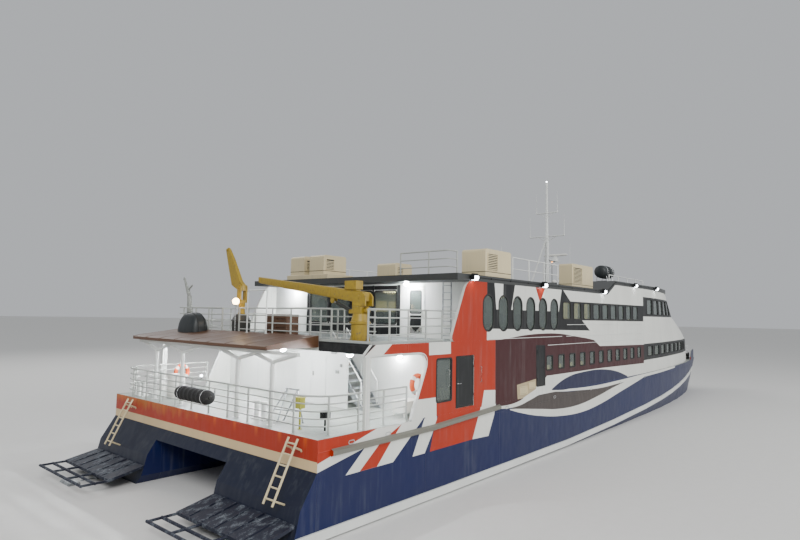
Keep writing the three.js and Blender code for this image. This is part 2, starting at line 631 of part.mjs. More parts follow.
function circle(radius, x, count = 14) {
  return Array.from({ length: count }, (_, i) => {
    const a = 2 * Math.PI * i / count;
    const z = JET.z + radius * Math.sin(a);
    return [typeof x === 'function' ? x(z) : x, JET.y + radius * Math.cos(a), z];
  });
}

// The housing is bolted to the raked transom. Two lugs hold the nozzle's steering pins.
const pinPoint = (up, rise) => [STEER_X, JET.y, JET.z + up * (JET.ball + rise)];
const lug = up => join([
  box(STEER_X - 0.1, JET_END + 0.1, JET.y - 0.07, JET.y + 0.07,
    JET.z + up * (JET.ball + 0.06) - 0.03, JET.z + up * (JET.ball + 0.06) + 0.03),
  bar(pinPoint(up, 0.001), pinPoint(up, 0.06), 0.05, 8),
]);
pair('waterjet', join([
  loft([circle(JET.radius, z => transomX(z) - GAP * 2), circle(JET.radius, JET_END + 0.3),
    circle(JET.ball + 0.08, JET_END)]),
  lug(1), lug(-1),
]), PAINT.grey, 0.4, 0.7);

// The nozzle has a round front, so that it can swing on its upright pins inside the lugs.
function turnedAft(profile, x) {
  const g = new THREE.LatheGeometry(profile.map(p => new THREE.Vector2(...p)), 14);
  return g.rotateZ(Math.PI / 2).translate(x, JET.y, JET.z);
}
const B = JET.ball;
const BUCKET_X = STEER_X - 0.2;
const CHEEK = 0.37;
const nozzle = turnedAft([[0.2, -0.27], [0.28, -0.19], [0.325, -0.1], [B, 0], [0.31, 0.25], [0.24, 0.45],
  [0.19, 0.45], [0.2, 0], [0.2, -0.27]], STEER_X);
pair('steering_nozzle', join([nozzle,
  bar([BUCKET_X, JET.y - CHEEK + GAP, JET.z], [BUCKET_X, JET.y - 0.25, JET.z], 0.045, 8),
  bar([BUCKET_X, JET.y + 0.25, JET.z], [BUCKET_X, JET.y + CHEEK - GAP, JET.z], 0.045, 8),
]), PAINT.grey, 0.4, 0.7);

// The reversing bucket, raised above the jet, swings down behind it on two side pins.
const cheekPlate = [[0.1, -0.1], [0.1, 0.12], [-0.1, 0.5], [-0.42, 0.5], [-0.46, 0.3], [-0.1, -0.1]]
  .map(([x, z]) => [BUCKET_X + x, JET.z + z]);
const hood = [[-0.08, 0.44], [-0.08, 0.5], [-0.42, 0.5], [-0.5, 0.22], [-0.45, 0.2], [-0.38, 0.44]]
  .map(([x, z]) => [BUCKET_X + x, JET.z + z]);
pair('reversing_bucket', join([
  sidePlate(cheekPlate, JET.y - CHEEK - 0.05, JET.y - CHEEK),
  sidePlate(cheekPlate, JET.y + CHEEK, JET.y + CHEEK + 0.05),
  sidePlate(hood, JET.y - CHEEK - 0.02, JET.y + CHEEK + 0.02),
]), PAINT.grey, 0.4, 0.7);

// The guard over each jet: a plate that falls away aft, with an open barred frame abaft it.
const GUARD = {
  x0: -2.72, xMid: -1.85, y0: 2.3, y1: 6.2, zFore: MAIN_DECK - 2.2, zAft: MAIN_DECK - 2.45, thick: 0.1,
};
const GUARD_Z = GUARD.zAft + GUARD.thick / 2;
const guardSide = [[GUARD.xMid, GUARD.zAft], [transomX(GUARD.zFore) - GAP, GUARD.zFore],
  [transomX(GUARD.zFore + GUARD.thick) - GAP, GUARD.zFore + GUARD.thick],
  [GUARD.xMid, GUARD.zAft + GUARD.thick]];
pair('jet_guard', join([
  sidePlate(guardSide, GUARD.y0, GUARD.y1),
  ...[0.012, 0.34, 0.67, 0.988].map(t => GUARD.y0 + (GUARD.y1 - GUARD.y0) * t)
    .map(y => bar([GUARD.xMid + 0.1, y, GUARD_Z], [GUARD.x0, y, GUARD_Z], 0.045, 4)),
  ...[0, 0.5].map(t => GUARD.x0 + (GUARD.xMid - GUARD.x0) * t)
    .map(x => bar([x, GUARD.y0, GUARD_Z], [x, GUARD.y1, GUARD_Z], 0.06, 4)),
]), PAINT.navy, 0.5);

// Cranes and davit.

const upright = (r, h, x, y, z, sides = 12, top = r) => new THREE.CylinderGeometry(top, r, h, sides)
  .rotateX(Math.PI / 2).translate(x, y, z + h / 2);

// The starboard crane is stowed with its boom across the deck to port.
const CRANE_S = { x: 2.9, y: -4.95, pivotY: -5.08, neck: UPPER_DECK + 0.95, pivotZ: UPPER_DECK + 1.5 };
const S = CRANE_S;
add('crane_pedestal_starboard', join([
  upright(0.36, 0.68, S.x, S.y, UPPER_DECK),
  upright(0.36, S.neck - UPPER_DECK - 0.66, S.x, S.y, UPPER_DECK + 0.66, 12, 0.25),
]), PAINT.yellow, 0.5);

// Fork plates are given by half the gap between them, their thickness, and a box of y and z.
function fork(x, halfGap, thick, y0, y1, z0, z1) {
  return [box(x - halfGap - thick, x - halfGap, y0, y1, z0, z1),
    box(x + halfGap, x + halfGap + thick, y0, y1, z0, z1)];
}

// The luffing ram's two ends, as offsets from the boom's pivot in y and z.
const RAM = { footY: 0.5, footZ: -0.48, eyeY: 1.43, eyeZ: -0.13, barrel: 0.84 };
add('crane_column_starboard', join([
  box(S.x - 0.2, S.x + 0.2, S.y - 0.2, S.y + 0.2, S.neck + GAP, S.neck + 0.24),
  ...fork(S.x, 0.14, 0.06, S.pivotY - 0.14, S.y + 0.2, S.neck + 0.2, S.pivotZ + 0.16),
  ...fork(S.x, 0.08, 0.035, S.y + 0.15, S.pivotY + RAM.footY + 0.07, S.neck + GAP,
    S.pivotZ + RAM.footZ + 0.07),
]), PAINT.yellow, 0.5);

// The boom's side view. Columns: distance along to port, height above its pivot.
const boomSide = [[-0.16, -0.14], [0.4, -0.16], [1.6, 0.0], [5.6, 0.58], [5.8, 0.66], [5.75, 0.84],
  [4.2, 0.66], [0.3, 0.22], [-0.16, 0.16]];
add('crane_boom_starboard', join([
  crossPlate(boomSide.map(([y, z]) => [S.pivotY + y, S.pivotZ + z]), S.x - 0.12, S.x + 0.12),
  bar([S.x - 0.139, S.pivotY, S.pivotZ], [S.x + 0.139, S.pivotY, S.pivotZ], 0.06, 8),
  box(S.x - 0.17, S.x + 0.17, S.pivotY + 0.2, S.pivotY + 0.74, S.pivotZ + 0.24, S.pivotZ + 0.55),
  box(S.x - 0.1, S.x + 0.1, S.pivotY + 0.24, S.pivotY + 0.7, S.pivotZ + 0.15, S.pivotZ + 0.26),
  ...fork(S.x, 0.055, 0.03, S.pivotY + RAM.eyeY - 0.09, S.pivotY + RAM.eyeY + 0.09,
    S.pivotZ + RAM.eyeZ - 0.08, S.pivotZ),
]), PAINT.yellow, 0.5);

// The ram: an open barrel on a trunnion at its foot, and a rod that slides in it.
const foot = new THREE.Vector3(S.x, S.pivotY + RAM.footY, S.pivotZ + RAM.footZ);
const eye = new THREE.Vector3(S.x, S.pivotY + RAM.eyeY, S.pivotZ + RAM.eyeZ);
const ramLean = Math.atan2(eye.z - foot.z, eye.y - foot.y);
const alongRam = t => foot.clone().lerp(eye, t).toArray();
const barrelProfile = [[0, -0.05], [0.04, -0.05], [0.065, -0.03], [0.065, RAM.barrel], [0.036, RAM.barrel],
  [0.036, 0.03], [0, 0.03]];
const barrel = new THREE.LatheGeometry(barrelProfile.map(p => new THREE.Vector2(...p)), 12);
add('crane_ram_starboard', join([
  barrel.rotateX(ramLean).translate(...foot.toArray()),
  bar([foot.x - 0.079, foot.y, foot.z], [foot.x - 0.04, foot.y, foot.z], 0.03, 8),
  bar([foot.x + 0.04, foot.y, foot.z], [foot.x + 0.079, foot.y, foot.z], 0.03, 8),
]), PAINT.dark, 0.5);
add('crane_rod_starboard', join([
  bar(alongRam(0.08), alongRam(1), 0.034, 12),
  bar([eye.x - 0.044, eye.y, eye.z], [eye.x + 0.044, eye.y, eye.z], 0.05, 10),
]), PAINT.alloy, 0.3, 0.9);

// The port crane stands on a round base and is stowed with its cranked boom raised.
const CRANE_P = { x: 2.9, y: 1.85, neck: UPPER_DECK + 0.85, pivotZ: UPPER_DECK + 1.92 };
const P = CRANE_P;
add('crane_pedestal_port', join([
  upright(0.4, 0.6, P.x, P.y, UPPER_DECK),
  upright(0.4, P.neck - UPPER_DECK - 0.58, P.x, P.y, UPPER_DECK + 0.58, 12, 0.26),
]), PAINT.dark, 0.6);
add('crane_column_port', join([
  upright(0.15, P.pivotZ - P.neck - 0.5, P.x, P.y, P.neck + GAP, 10),
  box(P.x - 0.17, P.x + 0.17, P.y - 0.13, P.y + 0.13, P.pivotZ - 0.6, P.pivotZ - 0.48),
  ...fork(P.x, 0.11, 0.06, P.y - 0.13, P.y + 0.13, P.pivotZ - 0.6, P.pivotZ + 0.14),
]), PAINT.yellow, 0.6);
const portBoom = [[-0.12, -0.1], [0.1, -0.13], [0.68, 0.14], [1.26, 1.64], [1.2, 1.76], [1.04, 1.72],
  [0.12, 0.28], [-0.1, 0.14]];
add('crane_boom_port', join([
  crossPlate(portBoom.map(([y, z]) => [P.y + y, P.pivotZ + z]), P.x - 0.09, P.x + 0.09),
  bar([P.x - 0.109, P.y, P.pivotZ], [P.x + 0.109, P.y, P.pivotZ], 0.05, 8),
]), PAINT.yellow, 0.5);

// The raft davit at the port corner turns on its foot.
const DAVIT = { x: 2.75, y: 5.7, foot: UPPER_DECK, bend: UPPER_DECK + 1.55 };
const davitPoint = (out, up) => [DAVIT.x, DAVIT.y + out, DAVIT.bend + up];
add('davit_arm', join([
  upright(0.17, 0.3, DAVIT.x, DAVIT.y, DAVIT.foot + GAP, 10),
  upright(0.11, DAVIT.bend - DAVIT.foot - 0.2, DAVIT.x, DAVIT.y, DAVIT.foot + 0.2, 10),
  bar(davitPoint(0, -0.08), davitPoint(0.58, 0.93), 0.1, 8, 0.03),
  bar(davitPoint(0.2, 0.3), davitPoint(-0.16, 0.56), 0.045, 6),
]), PAINT.alloy, 0.5, 0.3);

// Deck and roof fittings.

add('deck_bench', box(2.9, 3.5, -1.05, 0.2, UPPER_DECK, UPPER_DECK + 0.88), PAINT.brown, 0.7);

// Two things stand on the canopy: a raft under a domed cover, and an open pipe frame.
const canopyTop = x => CANOPY.zAft + 0.04
  + (CANOPY.zFore + 0.06 - CANOPY.zAft) * (x - CANOPY.x0) / (CANOPY.x1 - CANOPY.x0) + GAP;
const underCanopyTop = sidePlate([[0, 0], [3, 0], [3, canopyTop(3)], [0, canopyTop(0)]], -6, 6);
const COVER = { x0: 1.45, x1: 2.2, y: 3.72, half: 0.72, top: MAIN_DECK + 3.42 };
const coverArch = [[1, 0], [1, 0.42], [0.82, 0.78], [0.4, 1], [-0.4, 1], [-0.82, 0.78], [-1, 0.42], [-1, 0]];
const coverFoot = MAIN_DECK + 2.5;
add('raft_cover', cut(loft([[COVER.x0, 0.86], [COVER.x0 + 0.12, 1], [COVER.x1 - 0.12, 1], [COVER.x1, 0.86]]
  .map(([x, k]) => coverArch.map(([u, v]) => [
    x, COVER.y + COVER.half * u * k, coverFoot + (COVER.top - coverFoot) * v * (v > 0 ? k : 1)]))),
  [underCanopyTop]), PAINT.dark, 0.8);
const FRAME = { x: 2.15, y0: -0.85, y1: 0.35, top: MAIN_DECK + 4.3 };
add('deck_frame', cut(join([
  ...[FRAME.y0, FRAME.y1].map(y => bar([FRAME.x, y, MAIN_DECK + 2.5], [FRAME.x, y, FRAME.top], 0.03, 4)),
  ...[1, 0.45].map(t => canopyTop(FRAME.x) + (FRAME.top - canopyTop(FRAME.x)) * t)
    .map(z => bar([FRAME.x, FRAME.y0, z], [FRAME.x, FRAME.y1, z], 0.03, 4, 0.02)),
]), [underCanopyTop]), PAINT.white, 0.5);

add('stern_drum', upright(0.34, 0.95, 1.15, 3.6, FLOOR, 14), PAINT.white, 0.5);
// A black fender hangs outside the stern rail on two brackets.
const FENDER_X = -0.19;
add('stern_fender', join([
  bar([FENDER_X, -1.15, MAIN_DECK + 0.62], [FENDER_X, 0.9, MAIN_DECK + 0.62], 0.24, 12),
  ...[-0.9, 0.6].map(y => box(FENDER_X, RAIL_X - RAIL * Math.SQRT1_2 - GAP, y - 0.05, y + 0.05,
    MAIN_DECK + 0.65, MAIN_DECK + 0.69)),
]), PAINT.dark, 0.8);

// Units on the roof. Columns: name, x from, x to, y from, y to, height, corner radius.
const ROOF_UNITS = [
  ['roof_unit_starboard', 8.8, 10.85, -6.1, -4.95, 1.14, 0.12],
  ['roof_unit_middle', 9.0, 10.2, -1.15, 0.0, 0.8, 0.1],
  ['roof_unit_fore', 18.2, 21.0, -5.6, -4.85, 1.3, 0.3],
];
for (const [name, x0, x1, y0, y1, high, r] of ROOF_UNITS) {
  add(name, sidePlate([[x0, ROOF_AFT + GAP], [x1, ROOF_AFT + GAP], [x1, ROOF_AFT + high, r],
    [x0, ROOF_AFT + high, r]], y0, y1), PAINT.cream, 0.5);
}
// Two more units share a plinth on the port side.
add('roof_unit_port', join([
  box(7.6, 9.3, 1.9, 4.95, ROOF_AFT + GAP, ROOF_AFT + 0.3),
  ...[[2.3, 3.35], [3.75, 4.8]].map(([y0, y1]) => sidePlate([[7.7, ROOF_AFT + 0.28], [9.2, ROOF_AFT + 0.28],
    [9.2, ROOF_AFT + 1.25, 0.1], [7.7, ROOF_AFT + 1.25, 0.1]], y0, y1)),
]), PAINT.cream, 0.5);
add('roof_rail', railing([[7.2, -3.0], [7.2, -5.45], [7.75, -5.45]], ROOF_AFT, [0.32, 0.63, 0.95], 1.3),
  PAINT.white, 0.4);

// A ladder stands on the upper deck beside the after bulkhead and reaches the roof.
const ROOF_LADDER = {
  x: 7.72, y: -5.0, half: 0.2, z0: UPPER_DECK + GAP, z1: ROOF_AFT - ROOF_PLATE - GAP, rungs: 8,
};
const L = ROOF_LADDER;
add('roof_ladder', join([
  ...[-L.half, L.half].map(d => bar([L.x, L.y + d, L.z0], [L.x, L.y + d, L.z1], 0.03, 4)),
  ...Array.from({ length: L.rungs }, (_, i) => L.z0 + (L.z1 - L.z0) * (i + 0.5) / L.rungs)
    .map(z => bar([L.x, L.y - L.half, z], [L.x, L.y + L.half, z], 0.02, 4)),
]), PAINT.white, 0.5);

// Floodlights hang outside the roof's edge on one conduit along each side.
const CONDUIT = { aft: ROOF_AFT - 0.1, fore: ROOF_FORE - 0.1, thick: 0.035 };
const roofEdge = x => HALF_BEAM + (topPlan[1][1] - HALF_BEAM) * (x - 22.6) / (topPlan[1][0] - 22.6);
// Columns: x, height of the conduit there.
const FLOODLIGHTS = [[7.55, CONDUIT.aft], [13.34, CONDUIT.aft], [20.56, CONDUIT.aft],
  [25.83, CONDUIT.fore], [30.28, CONDUIT.fore]];
pair('roof_lamps', join([
  sidePlate([[7.4, CONDUIT.aft - 0.02], [21.35, CONDUIT.aft - 0.02], [22.6, CONDUIT.fore - 0.02],
    [22.6, CONDUIT.fore + 0.02], [21.3, CONDUIT.aft + 0.02], [7.4, CONDUIT.aft + 0.02]],
    HALF_BEAM + GAP, HALF_BEAM + GAP + CONDUIT.thick),
  bar([22.5, roofEdge(22.5) + 0.022, CONDUIT.fore], [30.4, roofEdge(30.4) + 0.022, CONDUIT.fore], 0.03, 4),
  ...FLOODLIGHTS.flatMap(([x, z]) => [
    box(x - 0.17, x + 0.17, roofEdge(Math.max(x, 22.6)) + 0.06, roofEdge(Math.max(x, 22.6)) + 0.22,
      z - 0.14, z + 0.1),
    box(x - 0.04, x + 0.04, roofEdge(Math.max(x, 22.6)) + 0.01, roofEdge(Math.max(x, 22.6)) + 0.1,
      z - 0.03, z + 0.03),
  ]),
]), PAINT.grey, 0.4, 0.5);

// Mast.

const MAST = { x: 26.7, top: 15.9, foot: ROOF_FORE };
const RADAR = { x: MAST.x + 1.35, z: MAST.foot + 2.3, half: 0.95 };
const M = MAST;
add('mast', join([
  upright(0.15, 3.6, M.x, 0, M.foot + GAP, 10),
  upright(0.09, M.top - M.foot - 3.4, M.x, 0, M.foot + 3.4, 8),
  bar([M.x - 1.3, 0.6, M.foot + 0.03], [M.x, 0.05, M.foot + 3.4], 0.06, 6),
  bar([M.x - 1.3, -0.6, M.foot + 0.03], [M.x, -0.05, M.foot + 3.4], 0.06, 6),
  box(M.x - 0.05, M.x + 0.05, -1.3, 1.3, M.foot + 3.5, M.foot + 3.6),
  box(M.x - 0.05, M.x + 0.05, -0.8, 0.8, M.foot + 5.2, M.foot + 5.28),
  box(M.x, RADAR.x + 0.25, -0.2, 0.2, RADAR.z - 0.45, RADAR.z - 0.38),
  box(RADAR.x - 0.2, RADAR.x + 0.2, -0.2, 0.2, RADAR.z - 0.4, RADAR.z - 0.1 - GAP),
]), PAINT.white, 0.5);
add('radar_scanner', join([
  box(RADAR.x - 0.07, RADAR.x + 0.07, -RADAR.half, RADAR.half, RADAR.z - 0.06, RADAR.z + 0.12),
  upright(0.09, 0.08, RADAR.x, 0, RADAR.z - 0.1, 10),
]), PAINT.white, 0.4);

// Foredeck.

const BOW_RAIL_X = BRIDGE_FRONT - 0.25;
add('foredeck_rail', railing([[46.6, 4.15], [BOW_RAIL_X, 3.35], [BOW_RAIL_X, -3.35], [46.6, -4.15]],
  MAIN_DECK, [0.35, 0.7, 1.05], 1.3), PAINT.white, 0.4);

export default ferry;
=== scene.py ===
# %% [markdown]
# # A fast passenger ferry
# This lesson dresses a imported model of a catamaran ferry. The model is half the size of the
# real ship, so all sizes below are the real ship's metres, and one number turns them into the
# model's.

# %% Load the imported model
import math
from functools import partial

import bmesh
import bpy
from mathutils import Matrix, Vector


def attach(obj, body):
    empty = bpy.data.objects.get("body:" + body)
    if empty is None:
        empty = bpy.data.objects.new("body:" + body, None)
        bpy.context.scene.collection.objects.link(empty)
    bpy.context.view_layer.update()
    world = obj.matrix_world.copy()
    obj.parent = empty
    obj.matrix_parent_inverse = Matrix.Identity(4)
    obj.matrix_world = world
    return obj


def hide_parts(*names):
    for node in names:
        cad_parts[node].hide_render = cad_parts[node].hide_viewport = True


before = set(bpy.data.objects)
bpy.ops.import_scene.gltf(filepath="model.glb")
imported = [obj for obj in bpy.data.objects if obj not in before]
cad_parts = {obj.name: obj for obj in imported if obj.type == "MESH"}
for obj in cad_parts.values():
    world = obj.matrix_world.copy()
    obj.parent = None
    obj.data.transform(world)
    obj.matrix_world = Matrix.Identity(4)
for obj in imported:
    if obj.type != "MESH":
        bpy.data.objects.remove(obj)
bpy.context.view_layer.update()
SCALE = 0.5
print("solids loaded:", len(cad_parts))

# %% [markdown]
# ## Sizes
# The ship's frame has x forward from the main deck's after edge, y to port and z up from the
# water. The levels below are the same driving sizes that the solids were made from.

# %% Levels and breadths, in the real ship's metres
MAIN = 2.75
UPPER = 5.28
ROOF_AFT = 7.8
ROOF_FORE = 8.4
SIDE_Y = 6.28
MAIN_WALL_X = 5.3
UPPER_WALL_X = 7.9
ROOF_PLATE = 0.25
SIDES = {"port": 1, "starboard": -1}
print("roof above the water:", ROOF_FORE, "m")

# %% [markdown]
# ## Camera
# The photograph was taken from a quay off the starboard quarter, a little above the main deck.
# Its lens and place were worked out from the ship's own straight lines. Blender's camera looks
# along its own minus z, so its matrix is built from the directions right, up and back.

# %% Camera at the photograph's viewing angle
VIEW = {"place": (-10.663, -18.262, MAIN + 3.464), "yaw": 40.57, "pitch": 4.499, "roll": 0.965,
        "lens": 25.62}
yaw, pitch, roll = (math.radians(VIEW[k]) for k in ("yaw", "pitch", "roll"))
ahead = Vector((math.cos(yaw) * math.cos(pitch), math.sin(yaw) * math.cos(pitch), math.sin(pitch)))
level = Vector((math.sin(yaw), -math.cos(yaw), 0))
overhead = level.cross(ahead)
right = math.cos(roll) * level + math.sin(roll) * overhead
above = math.cos(roll) * overhead - math.sin(roll) * level
camera = bpy.data.objects.new("camera", bpy.data.cameras.new("camera"))
camera.matrix_world = Matrix.Translation(SCALE * Vector(VIEW["place"])) @ Matrix(
    (right, above, -ahead)).transposed().to_4x4()
camera.data.sensor_width = 36
camera.data.lens = VIEW["lens"]
camera.data.clip_end = 600
bpy.context.scene.collection.objects.link(camera)
bpy.context.scene.camera = camera
print("camera height:", round(camera.location.z, 2), "m")

# %% [markdown]
# ## One function for nodes
# A material is a small graph. One function adds a node of any kind, sets its options, fills its
# sockets in order and gives back its result, so a recipe reads from the inside out. Colours are
# written as the hex codes that a colour picker shows, and one function turns them into the
# linear values that the renderer adds up.

# %% Helpers for materials
def linear(code):
    """Turns an sRGB hex code into linear red, green, blue and alpha."""
    parts = [int(code[i:i + 2], 16) / 255 for i in (1, 3, 5)]
    return (*[p / 12.92 if p <= 0.04045 else ((p + 0.055) / 1.055) ** 2.4 for p in parts], 1)


def add_node(tree, kind, *inputs, **settings):
    """Adds a shader node and gives back its first result. inputs fill its open sockets in order.
    A setting that starts with a capital is a socket, and any other is an option of the node."""
    made = tree.nodes.new("ShaderNode" + kind)
    sockets = {name: value for name, value in settings.items() if name[0].isupper()}
    for option in settings.keys() - sockets.keys():
        setattr(made, option, settings[option])
    fills = list(zip((s for s in made.inputs if s.enabled), inputs))
    fills += [(made.inputs[name], value) for name, value in sockets.items()]
    for socket, value in fills:
        if isinstance(value, bpy.types.NodeSocket):
            tree.links.new(value, socket)
        else:
            socket.default_value = value
    return next(s for s in made.outputs if s.enabled)


def start_material(name, **sockets):
    """Makes a material. Gives it, the function that adds its nodes, and places in real metres."""
    material = bpy.data.materials.new(name)
    material.use_nodes = True
    shader = material.node_tree.nodes["Principled BSDF"]
    for socket, value in sockets.items():
        shader.inputs[socket.replace("_", " ")].default_value = value
    add = partial(add_node, material.node_tree)
    place = add("VectorMath", add("TexCoord").node.outputs["Object"], 1 / SCALE, operation="SCALE")
    return material, add, place


def coated(material, colour, roughness=None, height=None, strength=1.0):
    """Joins a colour, a roughness and the height of a relief in metres to the main shader."""
    tree = material.node_tree
    joins = {"Base Color": colour, "Roughness": roughness}
    if height is not None:
        joins["Normal"] = add_node(tree, "Bump", Height=height, Distance=1.0, Strength=strength)
    for socket, value in joins.items():
        if value is not None:
            tree.links.new(value, tree.nodes["Principled BSDF"].inputs[socket])
    return material


def layered(add, colour, *coats):
    """Lays coats over a colour in turn. A coat is where it covers, from 0 to 1, and its colour."""
    colour = linear(colour) if isinstance(colour, str) else colour
    for share, top in coats:
        top = linear(top) if isinstance(top, str) else top
        colour = add("Mix", share, colour, top, data_type="RGBA")
    return colour


def stretched_noise(add, place, size, detail=4.0, roughness=0.55):
    """Cloudy noise whose lumps measure size: three lengths in metres, or one for all three."""
    lengths = size if isinstance(size, tuple) else (size,) * 3
    grid = add("VectorMath", place, [1 / s for s in lengths], operation="MULTIPLY")
    return add("TexNoise", Vector=grid, Scale=1.0, Detail=detail, Roughness=roughness)


print("helpers ready")

# %% [markdown]
# ## Floor and light
# A photographer's pale paper, level with the water that the ship floats on, and the sky is the
# same pale tone. Three broad soft lamps stand in for a studio: one high on the quarter that the
# camera sees, one low along the side, and one behind to draw the roof's edge.

# %% Floor, sky and lamps
studio, add, place = start_material("studio_paper", Metallic=0.0, Roughness=0.85)
fibre = stretched_noise(add, place, 0.4)
coated(studio, layered(add, "#dddcd8", (fibre, "#e3e2df")))
bpy.ops.mesh.primitive_circle_add(vertices=96, radius=260, fill_type="NGON", location=(12, 0, 0))
floor = bpy.context.object
floor.name = "studio_floor"
floor.data.materials.append(studio)

world = bpy.data.worlds.new("studio_sky")
world.use_nodes = True
sky = world.node_tree.nodes["Background"].inputs
sky["Color"].default_value = linear("#dfe2e6")
sky["Strength"].default_value = 0.7
bpy.context.scene.world = world

# Columns: name, place, point it looks at, size, watts
LAMPS = [
    ("quarter_lamp", (-16, -20, 20), (3, -1, 2), 14, 6000),
    ("side_lamp", (16, -30, 12), (12, -3, 2), 16, 4600),
    ("back_lamp", (6, 26, 22), (12, 0, 4), 16, 3000),
]
for name, spot, aim, size, watts in LAMPS:
    lamp = bpy.data.objects.new(name, bpy.data.lights.new(name, "AREA"))
    lamp.data.shape = "DISK"
    lamp.data.size = size
    lamp.data.energy = watts
    lamp.location = spot
    lamp.rotation_euler = (Vector(aim) - Vector(spot)).to_track_quat("-Z", "Y").to_euler()
    bpy.context.scene.collection.objects.link(lamp)
print("lamps:", len(LAMPS))

# %% [markdown]
# ## Making shapes
# Most gear on a ship is bent tube, folded plate or turned work, so each piece is drawn with a few
# helpers that all add to one mesh: a skin over rings of points, a tube along a path, a box, a
# plate with any outline, and a turned form. Building the mesh point by point keeps every size in
# the real ship's metres, where a modifier on a cube would hide it.

# %% Helpers for shapes
UP = (0, 0, 1)
# How a point of an outline and a depth become x, y and z, by the axis that the depth runs along.
LAID = {"x": lambda u, v, t: (t, u, v), "y": lambda u, v, t: (u, t, v), "z": lambda u, v, t: (u, v, t)}


def ring_at(centre, along, radius, sides):
    """Points of a circle square to a direction."""
    along = Vector(along).normalized()
    side = along.cross(UP if abs(along.z) < 0.9 else (1, 0, 0)).normalized()
    up = side.cross(along)
    turns = (2 * math.pi * i / sides for i in range(sides))
    return [Vector(centre) + radius * (math.cos(a) * side + math.sin(a) * up) for a in turns]


def skin(bm, rings, closed=False):
    """Joins rings of points, and caps the ends unless the rings close on themselves."""
    rows = [[bm.verts.new(p) for p in ring] for ring in rings]
    pairs = list(zip(rows, rows[1:])) + ([(rows[-1], rows[0])] if closed else [])
    for low, high in pairs:
        for i in range(len(low)):
            j = (i + 1) % len(low)
            bm.faces.new((low[i], low[j], high[j], high[i]))
    if not closed:
        bm.faces.new(rows[0][::-1])
        bm.faces.new(rows[-1])


def tube(bm, path, radius, sides=12):
    """A round tube through points. radius is one number, or one for each point."""
    points = [Vector(p) for p in path]
    radii = [radius] * len(points) if isinstance(radius, (int, float)) else radius
    rings = []
    for i, point in enumerate(points):
        before = (point - points[i - 1]).normalized() if i else None
        after = (points[i + 1] - point).normalized() if i + 1 < len(points) else None
        along = (before + after) if before and after else (before or after)
        rings.append(ring_at(point, along, radii[i], sides))
    skin(bm, rings)


def post(bm, foot, high, radius, sides=12):
    """An upright tube on a point."""
    tube(bm, [foot, Vector(foot) + Vector((0, 0, high))], radius, sides)


def block(bm, corner, opposite):
    """A box between two opposite corners."""
    xs, ys, zs = (sorted(pair) for pair in zip(corner, opposite))
    outline = [(xs[0], ys[0]), (xs[1], ys[0]), (xs[1], ys[1]), (xs[0], ys[1])]
    skin(bm, [[Vector((x, y, z)) for x, y in outline] for z in zs])


def plate(bm, outline, face, other, across="y", at=(0, 0)):
    """A plate with any outline, shifted by at. across is the axis that its thickness runs along."""
    skin(bm, [[Vector(LAID[across](at[0] + u, at[1] + v, t)) for u, v in outline] for t in (face, other)])


def turned(bm, profile, centre, axis=UP, sides=24):
    """A turned form. profile holds radius and distance along the axis."""
    axis = Vector(axis).normalized()
    skin(bm, [ring_at(Vector(centre) + h * axis, axis, max(r, 1e-4), sides) for r, h in profile])


def disc(bm, centre, radius, start, end, axis=UP, sides=24):
    """A plain round disc or pin between two distances along its axis."""
    turned(bm, [(0, start), (radius, start), (radius, end), (0, end)], centre, axis, sides)


def bolt_ring(bm, centre, radius, count, size, high, axis=UP):
    """Hexagon heads on a circle."""
    for spot in ring_at(centre, axis, radius, count):
        turned(bm, [(0, 0), (size, 0), (size, high * 0.8), (size * 0.7, high), (0, high)], spot, axis, 6)


print("solid shapes ready")

# %% [markdown]
# ## Frames round openings
# Windows, doors and grilles sit in frames with rounded corners. One helper gives the rounded
# outline and another joins an inner and an outer outline of as many points into a flat frame.

# %% Helpers for frames
def rounded(x, z, width, height, corner, steps=5):
    """Outline of an upright rectangle with rounded corners."""
    points = []
    for turn, (sx, sz) in enumerate(((1, 1), (-1, 1), (-1, -1), (1, -1))):
        cx, cz = x + sx * (width / 2 - corner), z + sz * (height / 2 - corner)
        for i in range(steps + 1):
            a = math.pi / 2 * (turn + i / steps)
            points.append((cx + corner * math.cos(a), cz + corner * math.sin(a)))
    return points


def edging(bm, middle, inner, outer, face, other, across="y", steps=4):
    """A flat frame. inner and outer each hold width, height and corner radius."""
    lines = [rounded(*middle, *size, steps) for size in (inner, outer)]
    loops = [[bm.verts.new(LAID[across](*p, t)) for p in line]
             for line, t in zip((*lines, *lines[::-1]), (face, face, other, other))]
    for a, b in zip(loops, loops[1:] + loops[:1]):
        for i in range(len(a)):
            j = (i + 1) % len(a)
            bm.faces.new((a[i], a[j], b[j], b[i]))


print("frames ready")

# %% [markdown]
# ## From a mesh to a piece
# The last helper scales the mesh to the model, softens its edges with a bevel, because no real
# edge is sharp, gives it its finish and fastens it to the body that carries it. Smooth shading
# with sharp edges from 38 degrees keeps tubes round and plates flat.

# %% Helper for pieces
SHARP_FROM = math.radians(38)
BEVEL_FROM = math.radians(40)


def piece(name, bm, material, body="ship", bevel=0.0, replaces=()):
    """Turns a mesh in real metres into a piece of the model that rides on a body."""
    bmesh.ops.recalc_face_normals(bm, faces=bm.faces[:])
    bmesh.ops.scale(bm, vec=(SCALE,) * 3, verts=bm.verts[:])
    mesh = bpy.data.meshes.new(name)
    bm.to_mesh(mesh)
    bm.free()
    mesh.materials.append(material)
    mesh.shade_smooth()
    mesh.set_sharp_from_angle(angle=SHARP_FROM)
    made = bpy.data.objects.new(name, mesh)
    bpy.context.scene.collection.objects.link(made)
    if bevel:
        edge = made.modifiers.new("soft edges", "BEVEL")
        edge.width = bevel * SCALE
        edge.segments = 2
        edge.limit_method = "ANGLE"
        edge.angle_limit = BEVEL_FROM
        edge.harden_normals = True
    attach(made, body)
    if replaces:
        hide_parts(*replaces)
    return made


print("pieces can be made")

